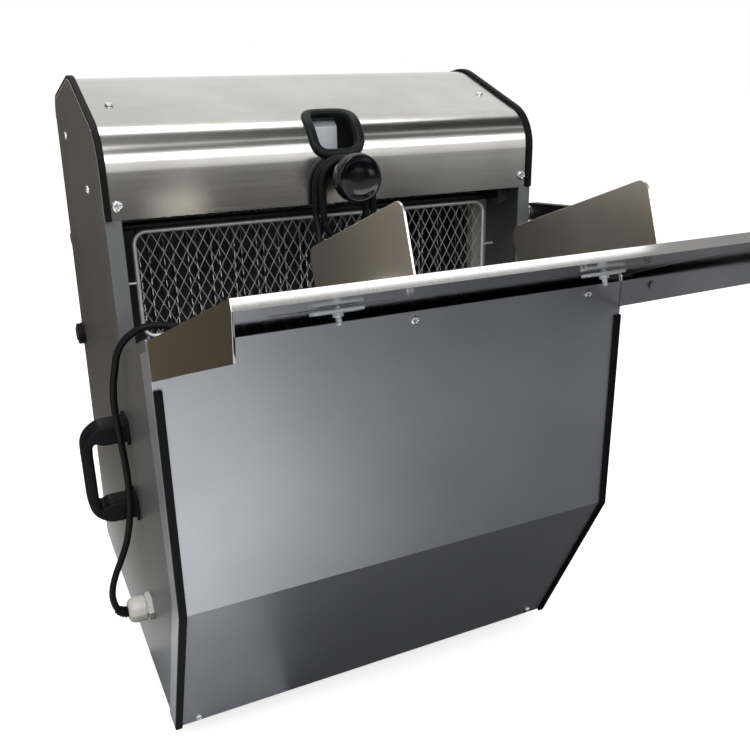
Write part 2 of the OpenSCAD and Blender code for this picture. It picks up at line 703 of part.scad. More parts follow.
module guard_mesh() color("#9b9c9e") place() translate([0, mesh_y, guard_pivot_h]) rotate([90, 0, 0])
  linear_extrude(mesh_t, center = true) difference() {
    translate([-guard_half_w, -guard_drop]) square([2 * guard_half_w, guard_drop - pivot_d]);
    for (r = [0:mesh_rows - 1], c = [0:mesh_columns - 1 - r % 2])
      translate([(c - (mesh_columns - 1 - r % 2) / 2) * mesh_pitch_w,
        (r - (mesh_rows - 1) / 2) * mesh_pitch_h / 2 - mesh_middle]) diamond();
  }
module clamp_stud() color("#9fa0a1") place() translate([0, lip_y, knob_h]) rotate([90, 0, 0]) {
  translate([0, 0, -hood_t - seam - stud_nut_h]) cylinder(d = stud_nut_d, h = stud_nut_h, $fn = 6);
  translate([0, 0, -hood_t - seam - stud_nut_h]) cylinder(d = stud_d, h = stud_nut_h + hood_t + 2 * seam);
  translate([0, 0, seam]) cylinder(d = neck_d, h = neck_l - seam);
}
module clamp_knob() color("#141416") place() translate([0, lip_y - neck_l, knob_h]) rotate([90, 0, 0])
  rotate_extrude() polygon(knob_d * knob_shares);

// Blade frames in their slide guides
module slide_guide(side) on_side(side) difference() {
  translate([guide_block_x, frame_y - bar_deep / 2 - contact - wall_y, block_low])
    cube([inner_x - guide_block_x, frame_gap + bar_deep + 2 * contact + 2 * wall_y,
      block_high - block_low]);
  for (y = [frame_y, frame_rear_y])
    translate([guide_block_x - overrun, y - bar_deep / 2 - contact, block_low - overrun])
      cube([post_w - post_bare + contact + overrun, bar_deep + 2 * contact,
        block_high - block_low + 2 * overrun]);
}
module slide_guide_left() color("#e6e4dc") place() slide_guide(-1);
module slide_guide_right() color("#e6e4dc") place() slide_guide(1);
module blade_frame(y, side) translate([0, y, 0]) {
  for (z = [lower_bar_h, upper_bar_h])
    translate([-post_x - post_w, -bar_deep / 2, z]) cube([2 * (post_x + post_w), bar_deep, bar_tall]);
  for (x = [-post_x - post_w, post_x]) translate([x, -bar_deep / 2, lower_bar_h + bar_tall])
    cube([post_w, bar_deep, blade_span]);
  on_side(side) difference() {
    along_x(lug_x, lug_x + lug_t) translate([0, lower_bar_h - wrist_drop]) {
      circle(d = lug_w);
      translate([-bar_deep / 2, 0]) square([bar_deep, wrist_drop]);
    }
    translate([0, 0, lower_bar_h - wrist_drop])
      shaft_x(pin_d + 2 * fit, lug_x - overrun, lug_x + lug_t + overrun);
  }
}
module blade() translate([-blade_t / 2, 0, lower_bar_h + bar_tall]) along_x(0, blade_t)
  polygon(concat(tooth_edge(), [[-blade_w / 2, blade_span], [blade_w / 2, blade_span], [blade_w / 2, 0]]));
module blade_row(y, count) for (i = [0:count - 1])
  translate([(i - (count - 1) / 2) * 2 * cut_pitch, y, 0]) blade();
module blade_frame_front() color("#a4a6a8") place() blade_frame(frame_y, -1);
module blade_frame_rear() color("#a4a6a8") place() blade_frame(frame_rear_y, 1);
module blades_front() color("#d3d6da") place() blade_row(frame_y, front_blades);
module blades_rear() color("#d3d6da") place() blade_row(frame_rear_y, rear_blades);

// Crank drive
module conrod(y, throw, side) on_side(side) {
  top = [y, lower_bar_h - wrist_drop];
  low = [crank_y + throw, crank_h];
  difference() {
    union() {
      along_x(rod_x, rod_x + rod_t) {
        for (p = [top, low]) translate(p) circle(d = eye_d);
        translate(low) rotate(atan2(top.y - low.y, top.x - low.x))
          translate([0, -rod_w / 2]) square([norm(top - low), rod_w]);
      }
      translate([0, top.x, top.y]) shaft_x(pin_d, rod_x, lug_x + lug_t);
    }
    translate([0, low.x, low.y]) shaft_x(pin_d + 2 * seam, rod_x - overrun, rod_x + rod_t + overrun);
  }
}
module conrod_front() color("#8b8d90") place() conrod(frame_y, -half_stroke, -1);
module conrod_rear() color("#8b8d90") place() conrod(frame_rear_y, half_stroke, 1);
module crankshaft() color("#85878a") place() translate([0, crank_y, crank_h]) {
  shaft_x(shaft_d, -disc_x, disc_x);
  for (x = [-1, 1]) {
    translate([x * disc_x, 0, 0]) shaft_x(disc_d, -disc_t / 2, disc_t / 2);
    translate([x * (disc_x + disc_t / 2 + pin_l / 2), x * half_stroke, 0])
      shaft_x(pin_d, -pin_l / 2, pin_l / 2);
  }
}
module pulley(d, bore) rotate([0, 90, 0]) rotate_extrude() polygon([
  [bore, -pulley_w / 2], [d / 2 + belt_t / 2 + pulley_lip, -pulley_w / 2],
  [d / 2 + belt_t / 2 + pulley_lip, -belt_w / 2 - seam], [d / 2 - belt_t / 2 - seam, -belt_w / 2 - seam],
  [d / 2 - belt_t / 2 - seam, belt_w / 2 + seam], [d / 2 + belt_t / 2 + pulley_lip, belt_w / 2 + seam],
  [d / 2 + belt_t / 2 + pulley_lip, pulley_w / 2], [bore, pulley_w / 2]]);
module crank_pulley() color("#6f7173") place() translate([0, crank_y, crank_h])
  pulley(crank_pulley_d, shaft_d / 2 + fit);
module bearing_blocks() color("#7b7d80") place() for (x = [-bearing_x, bearing_x]) difference() {
  along_x(x - bearing_t / 2, x + bearing_t / 2) translate([crank_y - bearing_w / 2, sheet])
    square([bearing_w, crank_h + bearing_head - sheet]);
  translate([0, crank_y, crank_h]) shaft_x(shaft_d + 2 * fit, x - bearing_t, x + bearing_t);
}
module motor() color("#4d5257") place() translate([0, motor_y, crank_h]) difference() {
  union() {
    along_x(motor_x + motor_cap, motor_x + motor_l - motor_cap) {
      circle(d = motor_d - 2 * motor_fin);
      for (i = [0:motor_fin_count - 1]) rotate(i * 360 / motor_fin_count)
        translate([0, -motor_fin_w / 2]) square([motor_d / 2 - contact, motor_fin_w]);
    }
    shaft_x(motor_d - 2 * motor_fin, motor_x, motor_x + motor_cap);
    shaft_x(motor_d - 2 * motor_fin, motor_x + motor_l - motor_cap, motor_x + motor_l);
  }
  shaft_x(motor_shaft_d + 2 * fit, motor_x - overrun, motor_x + motor_seat + fit);
}
module motor_cradle() color("#5b5d60") place()
  for (x = [motor_x + cradle_inset, motor_x + motor_l - cradle_inset - cradle_l]) difference() {
    along_x(x, x + cradle_l) translate([motor_y - cradle_w / 2, sheet])
      square([cradle_w, crank_h * cradle_share]);
    translate([0, motor_y, crank_h]) shaft_x(motor_d + 2 * contact, x - overrun, x + cradle_l + overrun);
  }
module motor_pulley() color("#6f7173") place() translate([0, motor_y, crank_h]) {
  shaft_x(motor_shaft_d, -pulley_w / 2, motor_x + motor_seat);
  pulley(motor_pulley_d, 0);
}
module belt_arc(r, angle) rotate([0, 0, -angle / 2]) rotate_extrude(angle = angle)
  translate([r - belt_t / 2, -belt_w / 2]) square([belt_t, belt_w]);
module drive_belt() color("#1a1a1b") place() translate([0, crank_y, crank_h]) rotate([90, 0, 90]) {
  rotate([0, 0, 180]) belt_arc(crank_pulley_d / 2, 360 - 2 * belt_lean);
  translate([drive_span, 0, 0]) belt_arc(motor_pulley_d / 2, 2 * belt_lean);
  for (y = [0, 1]) mirror([0, y, 0]) rotate([0, 0, belt_lean])
    translate([(crank_pulley_d - belt_t) / 2, -belt_run - seam, -belt_w / 2])
      cube([belt_t, belt_run + 2 * seam, belt_w]);
}

// Handles, switch, lever and cable
module handle_form(reach, half, corner) polygon([[-overrun, -half], [reach - corner, -half],
  [reach, corner - half], [reach, half - corner], [reach - corner, half], [-overrun, half]]);
module carry_handle(side) on_side(side) translate([half_w, handle_y + handle_w / 2, handle_h])
  rotate([90, 0, 0]) linear_extrude(handle_w) difference() {
    handle_form(handle_reach, handle_l / 2, handle_corner);
    handle_form(handle_reach - handle_wall, handle_l / 2 - handle_foot, handle_inner_corner);
    translate([-2 * overrun, -handle_l]) square([2 * overrun, 2 * handle_l]);
  }
module carry_handle_left() color("#161618") place() carry_handle(-1);
module carry_handle_right() color("#161618") place() carry_handle(1);
module at_switch() translate([-half_w, rear_y(switch_z) - switch_inset, switch_z])
  rotate([0, -90, 0]) children();
module switch_bezel() color("#1b1b1d") place() at_switch() difference() {
  cylinder(d = switch_d, h = switch_h);
  translate([0, 0, switch_h / 2 - button_travel]) cylinder(d = button_d, h = switch_h);
}
module switch_button() color("#1d1d20") place() at_switch() translate([0, 0, switch_h / 2])
  cylinder(d = button_d - 2 * fit, h = switch_h / 2 + button_travel / 2);
module lever_stud() color("#a3a4a5") place() translate([0, lever_y, lever_z]) {
  shaft_x(lever_stud_d, half_w, half_w + lever_gap + lever_t + 2 * contact);
  shaft_x(lever_hub_d - lever_cap_t, half_w, half_w + lever_gap);
  translate([half_w + lever_gap + lever_t, 0, 0]) shaft_x(lever_cap_d, 2 * contact, lever_cap_t);
}
module side_lever() color("#17171a") place() translate([0, lever_y, lever_z]) difference() {
  along_x(half_w + lever_gap + contact, half_w + lever_gap + lever_t + contact) hull() {
    circle(d = lever_hub_d);
    translate([-lever_l, lever_rise]) circle(d = lever_tip_d);
  }
  shaft_x(lever_stud_d + 2 * fit, half_w, half_w + 2 * lever_gap + lever_t);
}
module at_flap(out) translate([0, rear_y(flap_z), flap_z]) rotate([rear_lean, 0, 0])
  translate([0, out, 0]) children();
module outlet_flap() color("#8d8e88") place() at_flap(flap_out) {
  shaft_x(flap_rod_d, seam - half_w, half_w - seam);
  translate([-flap_half, -flap_rod_d / 2, -flap_l]) cube([2 * flap_half, sheet, flap_l]);
}
module flap_brackets() color("#8f908f") place() for (x = [-1, 1]) on_side(x) difference() {
  union() {
    at_flap(flap_out) shaft_x(flap_bracket_d, flap_half + seam, half_w);
    at_flap(0) translate([flap_half + seam, 0, -flap_bracket_d / 2])
      cube([half_w - flap_half - seam, flap_out, flap_bracket_d]);
  }
  at_flap(flap_out) shaft_x(flap_rod_d + 2 * fit, flap_half, half_w + overrun);
  at_flap(-flap_bracket_d) translate([0, 0, -flap_bracket_d])
    cube([half_w + overrun, flap_bracket_d, 2 * flap_bracket_d]);
}
module cable_gland() color("#b9bab7") place() {
  translate([-half_w, gland_y, gland_h]) rotate([0, -90, 0]) rotate_extrude()
    polygon([for (p = gland_shares) [p.x * gland_d / 2, p.y * gland_l]]);
  tube(sleeve_route, cord_sides, [-1, 0, 0], sleeve_way, [0, 0, 1], sleeve_shares);
}
module mains_cord() color("#1a1a1c") place() tube(cord_route, cord_sides, sleeve_way, [0, 0, 1], [0, 1, 0]);
module cord_hank() color("#1a1a1c") place() tube(loop_route, loop_sides, [0, 0, 1], [0, 0, -1], [0, 1, 0]);
module plug_lead() color("#1a1a1c") place() tube(lead_route, cord_sides, [0, 0, -1], [1, 0, 0], [0, 1, 0]);
module mains_plug() color("#1a1a1c") place() on_tray() translate([plug_x, plug_y, plug_t / 2 + seam]) {
  shaft_x(plug_boot_d, -plug_boot, 0);
  along_x(0, plug_l) rounded(plug_w, plug_t, plug_t * plug_round_share);
  for (y = [-1, 1]) translate([0, y * plug_pin_gap / 2, 0])
    shaft_x(plug_pin_d, plug_l, plug_l + plug_pin_l);
}

// Every node, one line each
side_panel_left();
side_panel_right();
front_panel();
hood();
rear_panel();
base_plate();
hood_trim_left();
hood_trim_right();
front_trim_left();
front_trim_right();
slot_grommet();
cover_screws();
panel_screws();
rubber_feet();
tie_rods();
feed_tray();
outlet_bed();
hanger_strap();
guard_brackets();
guard_frame();
guard_mesh();
clamp_stud();
clamp_knob();
guide_left();
guide_left_clamp();
guide_right();
guide_right_clamp();
slide_guide_left();
slide_guide_right();
blade_frame_front();
blades_front();
conrod_front();
blade_frame_rear();
blades_rear();
conrod_rear();
crankshaft();
crank_pulley();
bearing_blocks();
motor();
motor_cradle();
motor_pulley();
drive_belt();
carry_handle_left();
carry_handle_right();
switch_bezel();
switch_button();
lever_stud();
side_lever();
outlet_flap();
flap_brackets();
cable_gland();
mains_cord();
cord_hank();
plug_lead();
mains_plug();
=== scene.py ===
import math

import bmesh
import bpy
import numpy as np
from mathutils import Matrix, Vector


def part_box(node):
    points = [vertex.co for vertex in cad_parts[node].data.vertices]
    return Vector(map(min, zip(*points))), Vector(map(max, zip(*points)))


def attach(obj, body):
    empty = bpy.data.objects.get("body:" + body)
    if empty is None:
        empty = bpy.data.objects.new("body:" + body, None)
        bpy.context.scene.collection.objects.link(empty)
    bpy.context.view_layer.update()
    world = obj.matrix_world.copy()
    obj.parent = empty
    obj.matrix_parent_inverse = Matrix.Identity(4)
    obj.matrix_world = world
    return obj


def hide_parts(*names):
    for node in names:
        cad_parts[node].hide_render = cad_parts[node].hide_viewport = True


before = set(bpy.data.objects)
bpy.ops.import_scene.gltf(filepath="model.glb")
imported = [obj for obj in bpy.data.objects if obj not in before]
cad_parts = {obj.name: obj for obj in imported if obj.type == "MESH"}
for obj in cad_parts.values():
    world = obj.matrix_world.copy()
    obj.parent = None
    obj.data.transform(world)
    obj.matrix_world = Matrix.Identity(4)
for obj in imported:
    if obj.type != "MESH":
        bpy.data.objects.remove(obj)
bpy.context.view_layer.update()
mm = 0.001
rowShift = np.array([0.0, -50.897, 18.0])  # from the bottom front edge of the body to the row's origin, in mm
print("frame loaded:", len(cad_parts), "nodes")


def toRow(points):
    # millimetres from the body's bottom front edge to metres in the row frame
    return (np.asarray(points, float) + rowShift) * mm


# Camera, fitted to the photograph
cameraView = {
    "yaw": 25.20,
    "pitch": 19.71,
    "roll": -1.05,
    "place": (-320.8, -692.8, 608.6),
    "focalPixels": 840.2,
    "framePixels": 750,
    "sensor": 36.0,
    "clipStart": 0.02,
}


def makeCamera(view):
    yaw, pitch, roll = (math.radians(view[k]) for k in ("yaw", "pitch", "roll"))
    ahead = Vector((math.sin(yaw) * math.cos(pitch), math.cos(yaw) * math.cos(pitch), -math.sin(pitch)))
    right = Vector((math.cos(yaw), -math.sin(yaw), 0))
    up = right.cross(ahead)
    tiltedRight = math.cos(roll) * right + math.sin(roll) * up
    tiltedUp = math.cos(roll) * up - math.sin(roll) * right
    data = bpy.data.cameras.new("photoCamera")
    data.sensor_width = view["sensor"]
    data.lens = view["sensor"] * view["focalPixels"] / view["framePixels"]
    data.clip_start = view["clipStart"]
    cam = bpy.data.objects.new("photoCamera", data)
    bpy.context.scene.collection.objects.link(cam)
    turn = Matrix((tiltedRight, tiltedUp, -ahead)).transposed()
    cam.matrix_world = Matrix.Translation(toRow(view["place"]).tolist()) @ turn.to_4x4()
    bpy.context.scene.camera = cam


makeCamera(cameraView)
print("camera placed")


# Node and colour helpers
def srgb(code):
    # sRGB hex to linear RGBA
    raw = np.array([int(code[i:i + 2], 16) for i in (1, 3, 5)]) / 255
    linear = np.where(raw <= 0.04045, raw / 12.92, ((raw + 0.055) / 1.055) ** 2.4)
    return (*linear.tolist(), 1.0)


def addNode(tree, kind, inputs=None, **settings):
    node = tree.nodes.new(kind)
    for key, value in settings.items():
        setattr(node, key, value)
    for key, value in (inputs or {}).items():
        if isinstance(value, bpy.types.NodeSocket):
            tree.links.new(value, node.inputs[key])
        else:
            node.inputs[key].default_value = value
    return node


def newMaterial(name, **shaderValues):
    material = bpy.data.materials.new(name)
    material.use_nodes = True
    tree = material.node_tree
    shader = tree.nodes["Principled BSDF"]
    for key, value in shaderValues.items():
        shader.inputs[key].default_value = value
    return material, tree, shader


def ramp(tree, factor, stops):
    node = addNode(tree, "ShaderNodeValToRGB", {"Fac": factor})
    while len(node.color_ramp.elements) < len(stops):
        node.color_ramp.elements.new(0.5)
    for element, (place, code) in zip(node.color_ramp.elements, stops):
        element.position = place
        element.color = srgb(code)
    return node.outputs["Color"]


def dressShader(tree, shader, tint, gloss, rough, grain, height, bump, depth):
    # a tint, a roughness that wanders with one texture and a relief from another
    spread = addNode(tree, "ShaderNodeMapRange", {
        "Value": gloss, "To Min": rough - grain, "To Max": rough + grain})
    relief = addNode(tree, "ShaderNodeBump", {"Height": height, "Strength": bump, "Distance": depth})
    tree.links.new(tint, shader.inputs["Base Color"])
    tree.links.new(spread.outputs["Result"], shader.inputs["Roughness"])
    tree.links.new(relief.outputs["Normal"], shader.inputs["Normal"])


# Rolled sheet metal: a slow cloudiness with fine streaks in the rolling direction, which also vary the gloss
sheetFacts = {"cloudScale": 9.0, "darkest": 0.35, "streakLift": 0.42, "contrast": 0.32, "relief": 0.0004}


def sheetMetal(name, dark, light, rough, streak, streakShare=0.25, grain=0.05, bump=0.06, **shaderValues):
    material, tree, shader = newMaterial(name, **shaderValues)
    place = addNode(tree, "ShaderNodeTexCoord").outputs["Object"]
    stretched = addNode(tree, "ShaderNodeMapping", {"Vector": place, "Scale": streak}).outputs["Vector"]
    lines = addNode(tree, "ShaderNodeTexNoise", {
        "Vector": stretched, "Scale": 1.0, "Detail": 5.0}).outputs["Fac"]
    cloud = addNode(tree, "ShaderNodeTexNoise", {
        "Vector": place, "Scale": sheetFacts["cloudScale"], "Detail": 3.0}).outputs["Fac"]
    mixed = addNode(tree, "ShaderNodeMath", {0: lines, 1: streakShare, 2: cloud}, operation="MULTIPLY_ADD")
    low = sheetFacts["darkest"] + sheetFacts["streakLift"] * streakShare
    tint = ramp(tree, mixed.outputs[0], [(low, dark), (low + sheetFacts["contrast"], light)])
    dressShader(tree, shader, tint, lines, rough, grain, lines, bump, sheetFacts["relief"])
    return material


# Moulded plastic, rubber or enamel: an even colour with a fine pebbled skin and slow wear
skinFacts = {"wearScale": 22.0, "darkest": 0.35, "lightest": 0.68, "grain": 0.07, "relief": 0.0003}


def mouldedSkin(name, dark, light, rough, grainSize, bump, **shaderValues):
    material, tree, shader = newMaterial(name, **shaderValues)
    place = addNode(tree, "ShaderNodeTexCoord").outputs["Object"]
    pebble = addNode(tree, "ShaderNodeTexNoise", {
        "Vector": place, "Scale": 1 / grainSize, "Detail": 4.0}).outputs["Fac"]
    wear = addNode(tree, "ShaderNodeTexNoise", {
        "Vector": place, "Scale": skinFacts["wearScale"], "Detail": 5.0}).outputs["Fac"]
    tint = ramp(tree, wear, [(skinFacts["darkest"], dark), (skinFacts["lightest"], light)])
    dressShader(tree, shader, tint, wear, rough, skinFacts["grain"], pebble, bump, skinFacts["relief"])
    return material


# Streaks about 1 mm apart, coarser than the real brushing so that they show, and crystals of about 4 mm
alongX = (3.0, 900.0, 900.0)
alongZ = (900.0, 900.0, 4.0)
alongTray = (900.0, 5.0, 5.0)
crystals = (260.0, 260.0, 260.0)
dullBlack = {"Specular IOR Level": 0.1}
polishedBlack = {"Specular IOR Level": 0.3}
sheets = {
    # warm brushed stainless: soft long highlights that follow the bend of the hood
    "hoodStainless": dict(
        dark="#b8b7b4", light="#cbcac7", rough=0.2, streak=alongX, streakShare=0.12, grain=0.04, bump=0.02,
        Metallic=1.0),
    # polished stainless of the tray: near mirror, a little warm and dark
    "trayStainless": dict(
        dark="#848382", light="#929190", rough=0.08, streak=alongTray, streakShare=0.06, grain=0.015,
        bump=0.003, Metallic=1.0),
    # the guides' satin plates: warm and pale, rolled upright
    "guideStainless": dict(
        dark="#cfc8bd", light="#dcd5ca", rough=0.3, streak=alongTray, streakShare=0.12, grain=0.04, bump=0.02,
        Metallic=1.0),
    # pale grey satin front: nearly even, with a faint grain
    "frontSheet": dict(
        dark="#9fa1a8", light="#a6a8af", rough=0.42, streak=alongX, streakShare=0.06, grain=0.03, bump=0.01,
        Metallic=0.8),
    # darker grey satin sides
    "sideSheet": dict(
        dark="#5e6061", light="#686a6b", rough=0.44, streak=alongZ, streakShare=0.06, grain=0.03, bump=0.01,
        Metallic=0.4),
    # ground blade strip: fine grinding lines, too dull to flash
    "bladeSteel": dict(dark="#7c7f83", light="#93969a", rough=0.42, streak=alongZ, Metallic=1.0),
    # bright drawn wire: paler and softer than the plate, so that it shows against the dark inside
    "guardWire": dict(
        dark="#c3c4c2", light="#d8d9d7", rough=0.42, streak=crystals, streakShare=0.3, grain=0.05, bump=0.02,
        Metallic=0.55),
    # galvanised strap behind the slot: pale and even
    "strapZinc": dict(
        dark="#b4b7bd", light="#c3c6cc", rough=0.36, streak=alongZ, streakShare=0.2, grain=0.04, bump=0.02,
        Metallic=0.35),
    # pivot rod painted near black: painted shade for the shadow under the hood's lip, with one thin line of
    # light along it
    "shadowDarkSteel": dict(
        dark="#17181a", light="#232527", rough=0.4, streak=alongX, streakShare=0.2, grain=0.04, bump=0.03,
        Metallic=0.7),
    # blue-passivated zinc of the clamps: pale and cool, painted near white as painted light for the shade
    # under the tray
    "paintedLightZinc": dict(
        dark="#e2eaef", light="#f0f4f7", rough=0.3, streak=crystals, streakShare=0.3, grain=0.05, bump=0.02,
        Metallic=0.35),
    # zinc plate: a small crystalline sparkle
    "zincPlate": dict(
        dark="#b0b1b2", light="#d0d1d2", rough=0.26, streak=crystals, streakShare=0.4, grain=0.07, bump=0.06,
        Metallic=1.0),
    # milled aluminium: cutter lines across the bars
    "milledAluminium": dict(
        dark="#9c9ea0", light="#b8babc", rough=0.36, streak=alongX, streakShare=0.4, grain=0.06, bump=0.1,
        Metallic=1.0),
}
skins = {
    # oiled grey steel of the drive: dull, with a cast skin
    "machineGrey": dict(dark="#4c4e50", light="#5c5e60", rough=0.5, grainSize=0.0012, bump=0.1),
    # the motor's blue-grey enamel, a little glossier
    "motorPaint": dict(dark="#3c4145", light="#4b5054", rough=0.45, grainSize=0.001, bump=0.1),
    # dull extruded rubber of the edge trims and feet
    "blackRubber": dict(dark="#060607", light="#0e0e10", rough=0.6, grainSize=0.0006, bump=0.12, **dullBlack),
    # the slot's moulded rim: softer, a little green
    "rimRubber": dict(dark="#0c100f", light="#181d1b", rough=0.36, grainSize=0.0006, bump=0.08, **dullBlack),
    # matt sheath of the lead: black with a broad faint shine along its top
    "cordSheath": dict(dark="#070708", light="#101012", rough=0.48, grainSize=0.0005, bump=0.06, **dullBlack),
    # spark-eroded moulding of the handles: near black and satin
    "blackPlastic": dict(
        dark="#08080a", light="#101013", rough=0.44, grainSize=0.0008, bump=0.08, **dullBlack),
    # turned and buffed knob: a small sharp highlight
    "glossPhenolic": dict(
        dark="#060609", light="#0d0d12", rough=0.16, grainSize=0.002, bump=0.02, **polishedBlack),
    # the gland's pale nylon, slightly waxy
    "greyNylon": dict(dark="#bab8b2", light="#c6c4be", rough=0.36, grainSize=0.0008, bump=0.05),
    # the slides' natural nylon, greyed by oil and dust
    "whiteNylon": dict(dark="#8f8d86", light="#a5a39b", rough=0.5, grainSize=0.0008, bump=0.06),
    # glossy push button: black with a clear highlight
    "switchBlack": dict(dark="#101013", light="#1a1a1e", rough=0.25, grainSize=0.0008, bump=0.03),
}
finishes = {name: sheetMetal(name, **facts) for name, facts in sheets.items()}
finishes.update({name: mouldedSkin(name, **facts) for name, facts in skins.items()})
print("finishes made:", len(finishes))


# Surface helpers: a new piece is one or more grids of points, in mm from the body's bottom front edge
def gridFaces(rows, cols, loopRows, loopCols):
    # one quad between neighbouring rows and columns, going round where an edge is closed
    i, j = np.meshgrid(np.arange(rows if loopRows else rows - 1), np.arange(cols if loopCols else cols - 1),
                       indexing="ij")
    i, j = i.ravel(), j.ravel()
    below, beside = (i + 1) % rows, (j + 1) % cols
    return np.column_stack([i * cols + j, below * cols + j, below * cols + beside, i * cols + beside])


def makePiece(name, grids, finish, body, replaced=(), sharp=35):
    points, faces, start = [], [], 0
    for shape, loopRows, loopCols in grids:
        rows, cols = shape.shape[:2]
        points.append(shape.reshape(-1, 3))
        faces.append(gridFaces(rows, cols, loopRows, loopCols) + start)
        start += rows * cols
    mesh = bpy.data.meshes.new(name)
    mesh.from_pydata(toRow(np.vstack(points)).tolist(), [], np.vstack(faces).tolist())
    shell = bmesh.new()
    shell.from_mesh(mesh)
    bmesh.ops.remove_doubles(shell, verts=shell.verts, dist=1e-6)
    bmesh.ops.recalc_face_normals(shell, faces=shell.faces)
    shell.to_mesh(mesh)
    shell.free()
    mesh.polygons.foreach_set("use_smooth", np.ones(len(mesh.polygons), bool))
    mesh.set_sharp_from_angle(angle=math.radians(sharp))
    mesh.materials.append(finishes[finish])
    piece = bpy.data.objects.new(name, mesh)
    bpy.context.scene.collection.objects.link(piece)
    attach(piece, body)
    if replaced:
        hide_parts(*replaced)
    return piece


def unitRows(v):
    return v / np.linalg.norm(v, axis=-1, keepdims=True)


def squareTo(axis):
    # one direction at right angles to an axis
    return unitRows(np.cross(axis, (0, 0, 1) if abs(axis[2]) < 0.9 else (1, 0, 0)))


def revolve(profile, centre, axis, sides=48, ripple=0.0, lobes=0):
    # a (radius, height) profile turned about an axis; a ripple swells and shrinks the radius round the turn
    p = np.asarray(profile, float)
    axis = unitRows(np.asarray(axis, float))
    side = squareTo(axis)
    turn = np.linspace(0, 2 * np.pi, sides, endpoint=False)
    ring = np.cos(turn)[:, None] * side + np.sin(turn)[:, None] * np.cross(axis, side)
    swell = 1 + ripple * np.cos(lobes * turn)
    shape = np.asarray(centre, float) + p[:, 1, None, None] * axis + (p[:, :1] * swell)[..., None] * ring
    return shape, False, True


def sweep(path, halfWidth, halfHeight, up, power=2.6, sides=24, closed=False):
    # a superellipse section carried along a path; its height stands along up, its width across the path
    p = np.asarray(path, float)
    along = unitRows(np.roll(p, -1, 0) - np.roll(p, 1, 0) if closed else np.gradient(p, axis=0))
    up = np.broadcast_to(np.asarray(up, float), p.shape)
    up = unitRows(up - (up * along).sum(1, keepdims=True) * along)
    across = np.cross(along, up)
    turn = np.linspace(0, 2 * np.pi, sides, endpoint=False)
    wide, high = (np.sign(w) * np.abs(w) ** (2 / power) for w in (np.cos(turn), np.sin(turn)))
    widths, heights = (
        np.broadcast_to(np.asarray(h, float), len(p))[:, None, None] for h in (halfWidth, halfHeight))
    shape = p[:, None] + widths * wide[:, None] * across[:, None] + heights * high[:, None] * up[:, None]
    return shape, closed, True


def capped(grid):
    # both ends of an open tube drawn to the middle of their end rows
    shape, loopRows, loopCols = grid
    first, last = (np.broadcast_to(shape[k].mean(0), shape[:1].shape) for k in (0, -1))
    return np.concatenate([first, shape, last]), loopRows, loopCols


def roundedBlock(centre, half, axes=np.eye(3), edge=0.25, corner=0.25, rows=25, cols=48):
    # superellipsoid: sines and cosines raised to a small power give flat faces with rounded edges and corners
    lift = np.linspace(-np.pi / 2, np.pi / 2, rows)[:, None]
    turn = np.linspace(0, 2 * np.pi, cols, endpoint=False)[None]
    level = np.abs(np.cos(lift))
    reach = np.where(level < 1e-9, 0, level**edge)
    rise = np.sign(lift) * np.abs(np.sin(lift)) ** edge
    wide, deep = (np.sign(w) * np.abs(w) ** corner for w in (np.cos(turn), np.sin(turn)))
    local = np.stack([half[0] * reach * wide, half[1] * reach * deep, half[2] * rise + 0 * turn], -1)
    return np.asarray(centre, float) + local @ np.asarray(axes, float), False, True


def smoothThrough(points, step, perSpan=12):
    # Catmull-Rom through the points, then even steps along its length
    p = np.asarray(points, float)
    ends = np.vstack([2 * p[0] - p[1], p, 2 * p[-1] - p[-2]])
    s = np.linspace(0, 1, perSpan, endpoint=False)[None, :, None]
    a, b, c, d = (ends[i:len(ends) - 3 + i][:, None, :] for i in range(4))
    curve = 0.5 * (2 * b + (c - a) * s + (2 * a - 5 * b + 4 * c - d) * s**2 + (3 * b - a - 3 * c + d) * s**3)
    curve = np.vstack([curve.reshape(-1, p.shape[1]), p[-1:]])
    run = np.concatenate([[0], np.cumsum(np.linalg.norm(np.diff(curve, axis=0), axis=1))])
    even = np.linspace(0, run[-1], int(run[-1] / step) + 1)
    return np.column_stack([np.interp(even, run, curve[:, k]) for k in range(p.shape[1])])


leftRight = ((-1, "left"), (1, "right"))

# The feed tray's own directions, because the clamps and the plug sit on its slope
trayFacts = {"tilt": 20.0, "overCover": (0, -92, 428)}
trayTilt = math.radians(trayFacts["tilt"])
trayAxes = np.array([
    (1, 0, 0), (0, math.cos(trayTilt), -math.sin(trayTilt)), (0, math.sin(trayTilt), math.cos(trayTilt))])


def onTray(x, y, z):
    # distances along the tray's axes, from the point where it passes over the front cover
    return np.array(trayFacts["overCover"]) + np.array([x, y, z]) @ trayAxes


# Mains plug on the tray: a ribbed boot that swells into a rounded body, with two plated pins
plugFacts = {
    "start": (60, 90, 11.3),
    "rows": [
        (0, 4.6, 4.6), (3, 5.2, 5.2), (6, 5, 5), (9, 6, 6), (12, 5.9, 5.9), (14, 7.6, 7.4), (17, 11.6, 9.6),
        (22, 14.2, 10.7), (30, 15, 11), (42, 14.8, 10.9), (50, 14.6, 10.7), (54, 14.1, 10.2),
        (55.6, 13, 9.2), (56, 11.6, 8)],
    "step": 0.8,
    "pin": [(0, -1), (2.4, -1), (2.4, 16.8), (2, 18.2), (1.1, 18.9), (0, 19)],
    "pinSpread": 9.5,
}


def plugBody(facts):
    # rows of distance along the plug, half width and half height, drawn smooth
    rows = smoothThrough(facts["rows"], facts["step"])
    path = onTray(*facts["start"]) + rows[:, :1] * (1, 0, 0)
    return capped(sweep(path, rows[:, 1], rows[:, 2], trayAxes[2], power=3.2, sides=40))


def plugPin(facts, side):
    x, y, z = facts["start"]
    foot = onTray(x + facts["rows"][-1][0], y + side * facts["pinSpread"], z)
    return revolve(facts["pin"], foot, (1, 0, 0), sides=28)


